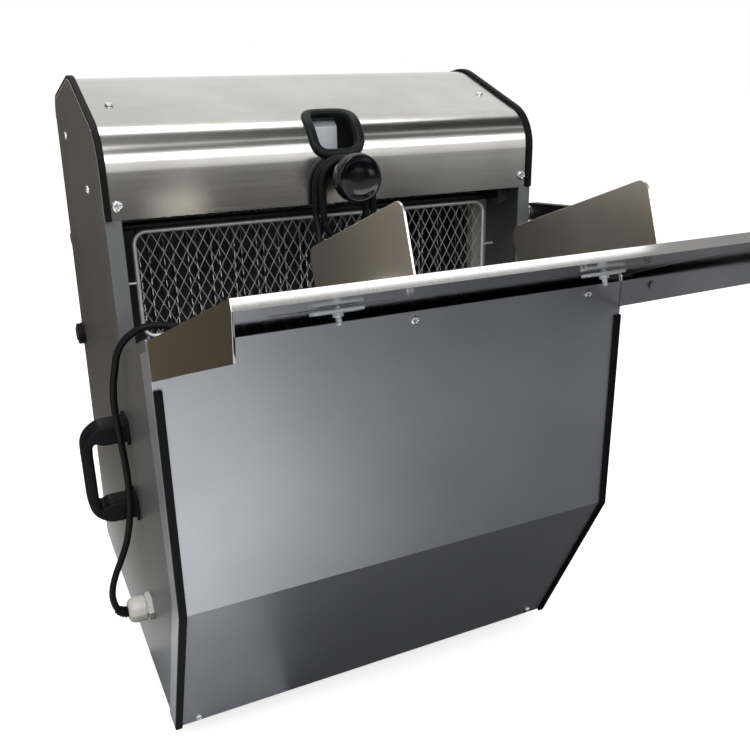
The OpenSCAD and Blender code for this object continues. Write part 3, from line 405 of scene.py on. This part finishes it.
plugPieces = [
    makePiece("plugBody", [plugBody(plugFacts)], "cordSheath", "housing",
              ["mains_plug"], sharp=50),
    makePiece("plugPins", [plugPin(plugFacts, side) for side in (-1, 1)], "zincPlate", "housing"),
]


# Mains cord: the route of the solids as one smooth tube
cordFacts = {
    "diameter": 6.5,
    "step": 2.5,
    "route": [
        (-252.66, 65, 108), (-254.3, 65, 110.8), (-255.9, 65.5, 117), (-256.4, 66, 125), (-254.5, 66, 136),
        (-250, 65.5, 149), (-243, 64.5, 165), (-236.5, 62.5, 183), (-231.5, 60, 207), (-229, 57.5, 236),
        (-229.5, 55, 270), (-232, 51, 303), (-233.5, 47, 331), (-232.3, 43.5, 352), (-229.6, 41, 367),
        (-226.8, 39, 380), (-222.3, 37.5, 389), (-215.3, 36, 396.5), (-204.7, 34, 402.5), (-191, 32, 404),
        (-175, 29.5, 401.5), (-156, 26.5, 397), (-130, 23, 393), (-98, 20, 392), (-74, 18, 394),
        (-57, 17, 401), (-46, 18, 414), (-39, 24, 430), (-34, 34, 447), (-30, 44, 462),
        (-28, 50.2, 472.8), (-28, 53.45, 482.55), (-28, 53.45, 489.05)],
    "lead": [
        (28, 45.75, 489.05), (28, 45.75, 482.55), (27.6, 44.6, 473.6), (26.6, 41.5, 464.4),
        (25.4, 36.7, 455.1), (24.5, 30.9, 446), (24.2, 24.4, 437.3), (25.1, 17.7, 429.3),
        (27.4, 11.3, 422.2), (31.7, 5.4, 416.3), (38.2, 0.7, 411.8), (46, -2, 409.2),
        (53.5, -3.57, 407.84), (60, -3.57, 407.84)],
    "loopHalf": 20.0,
    "loopStraight": 14.0,
    "loopMiddle": 495.55,
    "loopBack": 53.45,
    "loopStep": 8.0,
    "layerStep": 7.7,
    "turns": 1,
    "ringsPerTurn": 36,
}


def loopPoints(facts):
    # ovals of two half circles and two straights: a turn inwards at the back, half a turn forward,
    # then a turn outwards
    turns, h = facts["turns"], facts["loopStraight"]
    t = np.arange(0, (2 * turns + 0.5) * facts["ringsPerTurn"] + 1) / facts["ringsPerTurn"]
    climb = np.clip(2 * (t - turns), 0, 1)
    climb = climb * climb * (3 - 2 * climb)
    r = facts["loopHalf"] + facts["loopStep"] * np.where(t < turns, turns - t, np.maximum(t - turns - 0.5, 0))
    run = (t % 1) * (2 * np.pi * r + 4 * h)
    over, under = (run - h) / r, (run - 3 * h) / r - np.pi
    parts = [run < h, over < np.pi, run < 3 * h + np.pi * r, under < np.pi]
    x = np.select(parts, [-r, -r * np.cos(over), r, r * np.cos(under)], -r)
    z = np.select(parts, [run, h + r * np.sin(over), 2 * h + np.pi * r - run, -h - r * np.sin(under)],
                  run - 4 * h - 2 * np.pi * r)
    return np.column_stack([x, facts["loopBack"] - facts["layerStep"] * climb, facts["loopMiddle"] + z])


def makeCord(facts):
    line = np.vstack([facts["route"], loopPoints(facts), facts["lead"]])
    path = toRow(smoothThrough(line, facts["step"]))
    curve = bpy.data.curves.new("mainsLead", "CURVE")
    curve.dimensions = "3D"
    curve.bevel_depth = facts["diameter"] / 2 * mm
    curve.bevel_resolution = 4
    curve.use_fill_caps = True
    spline = curve.splines.new("POLY")
    spline.points.add(len(path) - 1)
    spline.points.foreach_set("co", np.column_stack([path, np.ones(len(path))]).ravel())
    spline.use_smooth = True
    lead = bpy.data.objects.new("mainsLead", curve)
    bpy.context.scene.collection.objects.link(lead)
    curve.materials.append(finishes["cordSheath"])
    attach(lead, "housing")
    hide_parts("mains_cord", "cord_hank", "plug_lead")
    length = float(np.linalg.norm(np.diff(path, axis=0), axis=1).sum())
    return length


print("cord length:", round(makeCord(cordFacts), 3), "m")

# Clamp knob: a mushroom with a dished face on a flared collar
knobFacts = {
    "base": (0, 39, 520),
    "profile": [
        (8.6, 0), (9.4, 0.8), (10.2, 4.4), (12.2, 6.4), (16.6, 8.2), (20.3, 11.6), (22.2, 15.6), (22.5, 19),
        (22.2, 23), (21.6, 26), (20.6, 27.6), (19.6, 27.9), (18.4, 27.2), (15, 25.2), (10, 23.6), (5, 22.9),
        (0, 22.7)],
    "step": 0.7,
}
knobProfile = np.vstack([[(0, 0)], smoothThrough(knobFacts["profile"], knobFacts["step"])])
makePiece("clampKnob", [revolve(knobProfile, knobFacts["base"], (0, -1, 0), sides=72)], "glossPhenolic",
          "knob", ["clamp_knob"])

# Slot rim: a rounded rubber section carried round a soft square that lies on the hood's bend
rimFacts = {"half": 24.0, "squareness": 4.0, "section": (4.8, 4.2), "sink": 0.5, "turn": 138.0, "points": 120}
hoodFacts = {"middle": (102.0, 533.0), "radius": 42.0, "slope": 20.0}


def hoodSurface(v, facts, turn):
    # from a distance along the slot's tangent to the point and normal on the hood's round,
    # or on its slope past the round
    mid, slope = np.array(facts["middle"]), math.radians(facts["slope"])
    out = np.array([math.cos(turn), math.sin(turn)])
    tangent = np.array([out[1], -out[0]])
    uphill = np.array([math.cos(slope), math.sin(slope)])
    slopeOut = np.array([-uphill[1], uphill[0]])
    bend = v[:, None] * tangent + np.sqrt(facts["radius"] ** 2 - v**2)[:, None] * out
    last = facts["radius"] * slopeOut
    past = (v - last @ tangent) / (uphill @ tangent)
    flat = (past > 0)[:, None]
    return mid + np.where(flat, last + past[:, None] * uphill, bend), np.where(flat, slopeOut, unitRows(bend))


def slotRim(facts):
    turn = np.linspace(0, 2 * np.pi, facts["points"], endpoint=False)
    corner = 2 / facts["squareness"]
    u, v = (facts["half"] * np.sign(w) * np.abs(w) ** corner for w in (np.cos(turn), np.sin(turn)))
    place, normal = hoodSurface(v, hoodFacts, math.radians(facts["turn"]))
    up = np.column_stack([0 * u, normal])
    path = np.column_stack([u, place]) - facts["sink"] * up
    return sweep(path, *facts["section"], up, power=2.8, closed=True)


makePiece("slotRim", [slotRim(rimFacts)], "rimRubber", "housing", ["slot_grommet"])

# Carry handles: thick moulded arms that thin into the grip, on a foot plate
handleFacts = {
    "middle": (84.0, 252.0),
    "line": [
        (219, 40.5), (228, 40.5), (240, 40.5), (250, 39.9), (256, 37.2), (259.2, 31.6), (260, 23), (260, 8)],
    "step": 1.5,
    "armHalf": 10.6,
    "gripHalf": 5.0,
    "thinFrom": 243.0,
    "thinOver": 16.0,
    "halfWidth": 13.8,
    "footPlace": 221.6,
    "foot": (1.6, 16.5, 13.5),
}


def carryHandle(facts, side):
    # the upper half of the line and its mirror below; the section thins smoothly from arm to grip
    upper = np.array(facts["line"])
    line = smoothThrough(np.vstack([upper, upper[::-1] * (1, -1)]), facts["step"])
    thin = np.clip((line[:, 0] - facts["thinFrom"]) / facts["thinOver"], 0, 1)
    thick = facts["armHalf"] + (facts["gripHalf"] - facts["armHalf"]) * thin * thin * (3 - 2 * thin)
    y, z = facts["middle"]
    path = np.column_stack([side * line[:, 0], np.full(len(line), y), z + line[:, 1]])
    grip = capped(sweep(path, thick, facts["halfWidth"], (0, 1, 0), power=6.0, sides=40))
    places = [(side * facts["footPlace"], y, z + k * upper[0, 1]) for k in (-1, 1)]
    return [grip] + [roundedBlock(place, facts["foot"], edge=0.3, corner=0.2) for place in places]


for side, name in leftRight:
    makePiece("carryGrip" + name.capitalize(), carryHandle(handleFacts, side), "blackPlastic", "housing",
              ["carry_handle_" + name], sharp=50)

# Cable gland: hexagon collar, domed nut with shallow flutes, and a ribbed rubber sleeve that turns up
# with the cord
glandFacts = {
    "base": (-220, 65, 103),
    "collar": [(0, 0), (13.6, 0), (14.2, 0.7), (14.2, 4.6), (13.4, 5.4), (11.4, 5.6), (11.4, 7), (0, 7)],
    "dome": [
        (0, 6.8), (12.2, 6.8), (12.7, 7.4), (12.8, 12), (12.7, 17), (12.2, 20), (10.8, 22.4), (8.6, 23.8),
        (6.2, 24), (0, 24)],
    "flutes": 12,
    "fluteDepth": 0.012,
    "sleeveStart": 20.0,
    "sleeveBendStart": 24.0,
    "sleeveBend": 10.0,
    "sleeveTurn": 60.0,
    "sleeveRadii": (5.7, 4.2),
    "ribs": 5,
    "rib": 0.45,
}


def glandSleeve(facts):
    # a straight start and a bend upwards; the radius falls along it and swells at each rib
    turn = np.radians(np.linspace(0, facts["sleeveTurn"], 49))
    r = facts["sleeveBend"]
    x0, y, z0 = facts["base"]
    bendX = x0 - facts["sleeveBendStart"] - r * np.sin(turn)
    bend = np.column_stack([bendX, np.full(len(turn), y), z0 + r * (1 - np.cos(turn))])
    path = np.vstack([[(x0 - facts["sleeveStart"], y, z0)], bend])
    s = np.linspace(0, 1, len(path))
    first, last = facts["sleeveRadii"]
    radius = first + (last - first) * s + facts["rib"] * np.cos(2 * np.pi * facts["ribs"] * s)
    return capped(sweep(path, radius, radius, (0, 1, 0), power=2.0, sides=28))


glandCollar = revolve(glandFacts["collar"], glandFacts["base"], (-1, 0, 0), sides=6)
glandDome = revolve(glandFacts["dome"], glandFacts["base"], (-1, 0, 0), 72, glandFacts["fluteDepth"],
                    glandFacts["flutes"])
makePiece("glandBody", [glandCollar, glandDome], "greyNylon", "housing", ["cable_gland"])
makePiece("glandSleeve", [glandSleeve(glandFacts)], "cordSheath", "housing", sharp=60)

# Screws: pan heads with a cross recess pressed into the dome; each has a place, an axis and a width
hoodSlope = math.radians(hoodFacts["slope"])
slopePlace = (87.64 + 40 * math.cos(hoodSlope), 572.47 + 40 * math.sin(hoodSlope))  # 40 mm up from the bend
chinLean = math.atan2(92, 188)  # how far the chin runs back over its height
chinPlace = (-8 * math.sin(chinLean), 8 * math.cos(chinLean))  # 8 mm up from the bottom edge
screwFacts = {
    "lip": [((x * 208, 60, 505), (0, -1, 0), 10) for x in (-1, 1)],
    "slope": [((x * 195, *slopePlace), (0, -math.sin(hoodSlope), math.cos(hoodSlope)), 8) for x in (-1, 1)],
    "side": [((x * 220, y, z), (x, 0, 0), 8) for x in (-1, 1) for y, z in ((145.5, 510.9), (269.7, 553.1))],
    "panel": [((x * 181.7, -92, 413), (0, -1, 0), 8) for x in (-1, 0, 1)],
    "chin": [((x * 197.7, *chinPlace), (0, -math.cos(chinLean), -math.sin(chinLean)), 8) for x in (-1, 1)],
    "height": 2.4,
    "crown": 0.2,
    "recess": 1.1,
    "crossHalf": 0.17,
    "crossReach": 0.56,
}


def screwHead(place, axis, across, facts):
    # height of a rounded disc less a soft cross; the last row closes the underside
    axis = np.asarray(axis, float)
    side = squareTo(axis)
    shares = np.append(np.linspace(0, 1, 22) ** 0.8, 0)
    share, turn = np.meshgrid(shares, np.linspace(0, 2 * np.pi, 40, endpoint=False), indexing="ij")
    x, y = share * np.cos(turn), share * np.sin(turn)
    narrow, far = np.minimum(np.abs(x), np.abs(y)), np.maximum(np.abs(x), np.abs(y))
    cross = np.exp(-(narrow / facts["crossHalf"]) ** 4 - (far / facts["crossReach"]) ** 8)
    dome = facts["height"] * (1 - facts["crown"] * share**2) * (1 - share**10) ** 0.5
    height = dome - facts["recess"] * cross
    height[-1] = 0
    flat = across / 2 * (x[..., None] * side + y[..., None] * np.cross(axis, side))
    return np.asarray(place, float) + flat + height[..., None] * axis, False, True


for name, node, groups in (("coverScrews", "cover_screws", ("lip", "slope", "side")),
                           ("panelScrews", "panel_screws", ("panel", "chin"))):
    makePiece(name, [screwHead(*screw, screwFacts) for group in groups for screw in screwFacts[group]],
              "zincPlate", "housing", [node], sharp=50)

# Guard mesh: zigzag wires whose points meet those of the next row, so that they leave diamonds
meshFacts = {
    "plane": 108.5,
    "halfWidth": 190.0,
    "low": 374.0,
    "high": 472.0,
    "pitch": 10.8,
    "rows": 10,
    "wire": 0.62,
}


def zigzagWires(facts):
    count = 2 * int(round(facts["halfWidth"] * 2 / facts["pitch"])) + 1
    x = np.linspace(-facts["halfWidth"], facts["halfWidth"], count)
    tall = (facts["high"] - facts["low"]) / facts["rows"]
    wires = []
    for row in range(facts["rows"]):
        up = np.where((np.arange(count) + row) % 2 == 0, 1, -1) * tall / 2
        path = np.column_stack([x, np.full(count, facts["plane"]), facts["low"] + tall * (row + 0.5) + up])
        wires.append(capped(sweep(path, facts["wire"], facts["wire"], (0, 1, 0), power=2.0, sides=6)))
    return wires


makePiece("guardWires", zigzagWires(meshFacts), "guardWire", "guard",
          ["guard_mesh"], sharp=60)

# Guard: a thin bright rim with round corners under a pivot rod painted dark as painted shade, and a short pin
# on each side
guardFacts = {
    "plane": 105.0,
    "halfWidth": 190.5,
    "high": 474.4,
    "corner": 12.0,
    "rimRadius": 2.1,
    "pivotHeight": 480.0,
    "pivotRadius": 3.9,
    "pinReach": 14.0,
    "pinRadius": 1.4,
    "chamfer": 0.4,
}


def guardRim(facts, low):
    # a quarter circle at each corner, joined by straights
    turn = np.linspace(0, np.pi / 2, 10)[None] + np.arange(4)[:, None] * np.pi / 2
    inner = facts["halfWidth"] - facts["corner"]
    x = np.array([inner, -inner, -inner, inner])[:, None] + facts["corner"] * np.cos(turn)
    top, bottom = facts["high"] - facts["corner"], low + facts["corner"]
    z = np.array([top, top, bottom, bottom])[:, None] + facts["corner"] * np.sin(turn)
    path = np.column_stack([x.ravel(), np.full(x.size, facts["plane"]), z.ravel()])
    return sweep(path, facts["rimRadius"], facts["rimRadius"], (0, 1, 0), power=2.0, sides=16, closed=True)


def rodAlongX(radius, start, stop, height, facts):
    length, edge = stop - start, facts["chamfer"]
    profile = [
        (0, 0), (radius - edge, 0), (radius, edge), (radius, length - edge), (radius - edge, length),
        (0, length)]
    return revolve(profile, (start, facts["plane"], height), (1, 0, 0), sides=24)


guardLow, guardHigh = (np.array(corner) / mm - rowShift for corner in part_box("guard_frame"))
rimLow = guardLow[2] + guardFacts["rimRadius"]
pinHeight = (rimLow + guardFacts["pivotHeight"]) / 2
pinSpan = np.array([guardFacts["halfWidth"], guardFacts["halfWidth"] + guardFacts["pinReach"]])
guardPins = [
    rodAlongX(guardFacts["pinRadius"], *span, pinHeight, guardFacts) for span in (pinSpan, -pinSpan[::-1])]
makePiece("guardRim", [guardRim(guardFacts, rimLow)] + guardPins, "guardWire", "guard",
          ["guard_frame"])
guardRod = rodAlongX(guardFacts["pivotRadius"], guardLow[0], guardHigh[0], guardFacts["pivotHeight"],
                     guardFacts)
# the rod's near-black colour is painted shade for the shadow under the hood's lip
makePiece("guardPivot", [guardRod], "shadowDarkSteel", "guard")

# Corner tabs: the front cover's folded ends, which close the gap under the tray on both sides
tabFacts = {"middle": (219.6, -86.0, 421.0), "half": (1.7, 5.4, 5.2)}
cornerTabs = [
    roundedBlock(np.array(tabFacts["middle"]) * (side, 1, 1), tabFacts["half"], edge=0.2, corner=0.2)
    for side in (-1, 1)]
makePiece("cornerTabs", cornerTabs, "frontSheet", "housing")

# Guide clamps: a bar on a slim bolt a little below the tray, whose underside mirrors it,
# and a knurled thumb nut over the tray
clampFacts = {
    "reach": 112,
    "along": -105,
    "bar": (19, 5, 1.3),
    "barDrop": 4.0,
    "bolt": [
        (0, 1), (2.3, 1), (2.3, 5.3), (3.9, 5.4), (3.9, 7.6), (3.5, 8), (2.1, 8.1), (2.1, 13), (1.6, 13.6),
        (0, 13.7)],
    "thumb": [(0, 1.7), (8.2, 1.7), (9, 2.6), (9, 10.2), (8.2, 11.4), (5, 11.8), (4.4, 12.6), (0, 12.7)],
    "knurls": 24,
    "knurlDepth": 0.018,
}


def guideClamp(facts, side):
    x, y = side * facts["reach"], facts["along"]
    bar = roundedBlock(onTray(x, y, -facts["barDrop"]), facts["bar"], trayAxes)
    bolt = revolve(facts["bolt"], onTray(x, y, 0), -trayAxes[2], sides=24)
    thumb = revolve(facts["thumb"], onTray(x, y, 0), trayAxes[2], 96, facts["knurlDepth"], facts["knurls"])
    return [bar, bolt, thumb]


# the clamps' near-white colour is painted light for the shade under the tray
for side, name in leftRight:
    makePiece("guideClamp" + name.capitalize(), guideClamp(clampFacts, side), "paintedLightZinc",
              "guide_" + name + "_slider", ["guide_" + name + "_clamp"])

# Power switch: a stepped ring round a dished button, which keeps off the floor of its well
# when it is pushed in
switchFacts = {
    "ring": [
        (0, 0), (13, 0), (13.5, 0.5), (13.5, 2.2), (13.1, 2.8), (12.8, 3.2), (12.8, 7), (12.4, 7.7),
        (11.8, 8), (10.2, 7.9), (9.7, 7.3), (9.7, 1.2), (0, 1.2)],
    "button": [
        (0, 4.2), (8.8, 4.2), (9.2, 4.6), (9.2, 8.1), (8.9, 8.8), (8.2, 9.2), (7.4, 9.1), (5, 8.6),
        (2.6, 8.3), (0, 8.2)],
}
switchLow, switchHigh = (np.array(corner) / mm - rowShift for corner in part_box("switch_bezel"))
switchSeat = np.append(switchHigh[:1], (switchLow + switchHigh)[1:] / 2)
makePiece("switchRing", [revolve(switchFacts["ring"], switchSeat, (-1, 0, 0), sides=64)], "blackPlastic",
          "housing", ["switch_bezel"])
makePiece("pushButton", [revolve(switchFacts["button"], switchSeat, (-1, 0, 0), sides=64)], "switchBlack",
          "button", ["switch_button"])

# Feet: tapered rubber with a screw hole underneath
feetFacts = {
    "profile": [
        (0, 0), (19, 0), (19, -2), (18.4, -4), (17, -12), (16.4, -16.6), (15.4, -18), (6, -18), (5.4, -17.4),
        (5.2, -12), (0, -12)],
    "places": [(x, y, 0) for x in (-190, 190) for y in (42, 388)],
}
makePiece("standFeet", [revolve(feetFacts["profile"], place, (0, 0, 1)) for place in feetFacts["places"]],
          "blackRubber", "housing", ["rubber_feet"])
print("pieces made")


# CAD nodes that stay: joined triangles, rounded edges and a finish; each edge radius is in mm
edgeFacts = {"weld": 0.01, "flatAngle": 1, "segments": 3, "bevelAngle": 38, "splitAngle": 25}
nodeFinish = {
    "sideSheet": (0.5, ["side_panel_left", "side_panel_right", "rear_panel", "base_plate", "outlet_flap"]),
    "frontSheet": (0.5, ["front_panel"]),
    "hoodStainless": (0.3, ["hood"]),
    "strapZinc": (0.3, ["hanger_strap"]),
    "trayStainless": (0.35, ["feed_tray", "outlet_bed"]),
    "guideStainless": (0.4, ["guide_left", "guide_right"]),
    "zincPlate": (0.3, ["lever_stud"]),
    "bladeSteel": (0.0, ["blades_front", "blades_rear"]),
    "milledAluminium": (0.5, ["blade_frame_front", "blade_frame_rear", "conrod_front", "conrod_rear",
                              "crank_pulley", "motor_pulley"]),
    "machineGrey": (0.5, ["crankshaft", "bearing_blocks", "motor_cradle", "tie_rods", "guard_brackets",
                          "flap_brackets"]),
    "motorPaint": (0.4, ["motor"]),
    "blackRubber": (1.0, ["hood_trim_left", "hood_trim_right", "front_trim_left", "front_trim_right",
                          "drive_belt"]),
    "blackPlastic": (1.2, ["side_lever", "clamp_stud"]),
    "whiteNylon": (0.5, ["slide_guide_left", "slide_guide_right"]),
}


def dressNode(name, material, edge):
    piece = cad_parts[name]
    piece.data.materials.clear()
    piece.data.materials.append(material)
    piece.data.polygons.foreach_set("use_smooth", np.ones(len(piece.data.polygons), bool))
    weld = piece.modifiers.new("weld", "WELD")
    weld.merge_threshold = edgeFacts["weld"] * mm
    if edge:
        flat = piece.modifiers.new("flat", "DECIMATE")
        flat.decimate_type = "DISSOLVE"
        flat.angle_limit = math.radians(edgeFacts["flatAngle"])
        bevel = piece.modifiers.new("edge", "BEVEL")
        bevel.width = edge * mm
        bevel.segments = edgeFacts["segments"]
        bevel.limit_method = "ANGLE"
        bevel.angle_limit = math.radians(edgeFacts["bevelAngle"])
    split = piece.modifiers.new("split", "EDGE_SPLIT")
    split.split_angle = math.radians(edgeFacts["splitAngle"])
    even = piece.modifiers.new("even", "WEIGHTED_NORMAL")
    even.keep_sharp = True


for finish, (edge, names) in nodeFinish.items():
    for name in names:
        dressNode(name, finishes[finish], edge)
print("nodes dressed")


# Stage: a white floor and surround, soft lamps, and darker cards that only the metal's reflections see
stage = {
    "floorSize": 60.0,
    "floorGlow": 0.62,
    "floorSeen": "#dededc",
    "floorBounce": "#4c4a47",
    "worldDiffuse": 0.55,
    "cardRough": 0.9,
    "cardLift": 0.004,
}


def levelSheet(x0, x1, y0, y1, z):
    return [(x0, y0, z), (x1, y0, z), (x1, y1, z), (x0, y1, z)]


cards = {
    # the dark band along the hood's bend
    "cardAbove": ("#2b2b29", levelSheet(-3.0, 3.0, -1.0, 0.1, 2.2)),
    # the softer band under it
    "cardAhead": ("#7d7f7c", levelSheet(-3.0, 3.0, -2.7, -1.5, 2.6)),
    # the darker right half of the front cover
    "cardBelow": ("#2b2b29", [(x, y, stage["cardLift"]) for x, y in (
        (-0.1, 0.1), (-0.1, -0.2), (-0.17, -0.3), (0.0, -0.45), (0.15, -0.62), (0.15, -7.0), (5.0, -7.0),
        (5.0, 3.0), (0.8, 3.0), (0.8, 0.1))]),
    # the paler left end of the chin
    "cardChin": ("#b2b3b6", levelSheet(-0.34, -0.1, -0.2, 0.1, stage["cardLift"])),
    # the warm tone of the left side, from the floor and from beside it
    "cardLeft": ("#6b6352", levelSheet(-1.6, -0.28, 0.12, 3.0, stage["cardLift"])),
    "cardBeside": ("#8f7c63", [(-0.42, 0.1, 0.0), (-0.42, 3.0, 0.0), (-0.42, 3.0, 0.8), (-0.42, 0.1, 0.8)]),
}
lamps = {
    "keyLamp": {"place": (-0.5, -0.95, 2.5), "target": (0, -0.1, 0.4), "size": (1.1, 1.1), "power": 40},
    "topLamp": {"place": (0.2, 0.3, 2.4), "target": (0, 0, 0.5), "size": (1.8, 0.8), "power": 16},
    "stripLamp": {"place": (0, -2.0, 1.6), "target": (0, 0, 0.55), "size": (3.6, 0.6), "power": 28},
}


def stageSheet(name, corners, material):
    mesh = bpy.data.meshes.new(name)
    mesh.from_pydata(corners, [], [range(len(corners))])
    mesh.materials.append(material)
    sheet = bpy.data.objects.new(name, mesh)
    bpy.context.scene.collection.objects.link(sheet)
    return sheet


def seenRays(tree):
    # 1 for rays from the camera, off glossy surfaces and through clear ones, 0 for soft bounced light
    rays = addNode(tree, "ShaderNodeLightPath").outputs
    two = addNode(tree, "ShaderNodeMath", {
        0: rays["Is Camera Ray"], 1: rays["Is Glossy Ray"]}, operation="MAXIMUM").outputs[0]
    return addNode(tree, "ShaderNodeMath", {
        0: two, 1: rays["Is Transmission Ray"]}, operation="MAXIMUM").outputs[0]


def makeStage(facts):
    half = facts["floorSize"] / 2
    material, tree, shader = newMaterial("paleFloor")
    tree.nodes.remove(shader)
    bounce = addNode(tree, "ShaderNodeBsdfDiffuse", {"Color": srgb(facts["floorBounce"])})
    shadowed = addNode(tree, "ShaderNodeBsdfDiffuse", {"Color": srgb(facts["floorSeen"])})
    glow = addNode(tree, "ShaderNodeEmission", {"Strength": facts["floorGlow"]})
    white = addNode(tree, "ShaderNodeAddShader", {0: shadowed.outputs[0], 1: glow.outputs[0]})
    both = addNode(tree, "ShaderNodeMixShader", {
        "Fac": seenRays(tree), 1: bounce.outputs[0], 2: white.outputs[0]})
    tree.links.new(both.outputs[0], tree.nodes["Material Output"].inputs["Surface"])
    stageSheet("floor", levelSheet(-half, half, -half, half, 0), material)
    world = bpy.data.worlds.new("surround")
    world.use_nodes = True
    bpy.context.scene.world = world
    back = world.node_tree.nodes["Background"]
    back.inputs["Color"].default_value = srgb("#ffffff")
    level = addNode(world.node_tree, "ShaderNodeMapRange", {
        "Value": seenRays(world.node_tree), "To Min": facts["worldDiffuse"], "To Max": 1.0})
    world.node_tree.links.new(level.outputs["Result"], back.inputs["Strength"])
    for name, (colour, corners) in cards.items():
        paint, _, _ = newMaterial(name, **{"Base Color": srgb(colour), "Roughness": facts["cardRough"]})
        sheet = stageSheet(name, corners, paint)
        sheet.visible_camera = sheet.visible_diffuse = sheet.visible_shadow = False


def addLamp(name, place, target, size, power):
    data = bpy.data.lights.new(name, "AREA")
    data.shape = "RECTANGLE"
    data.size, data.size_y = size
    data.energy = power
    lamp = bpy.data.objects.new(name, data)
    bpy.context.scene.collection.objects.link(lamp)
    lamp.location = place
    lamp.rotation_mode = "QUATERNION"
    lamp.rotation_quaternion = (Vector(target) - Vector(place)).to_track_quat("-Z", "Y")


makeStage(stage)
for name, facts in lamps.items():
    addLamp(name, **facts)
bpy.context.scene.view_settings.view_transform = "Standard"
print("stage lit")
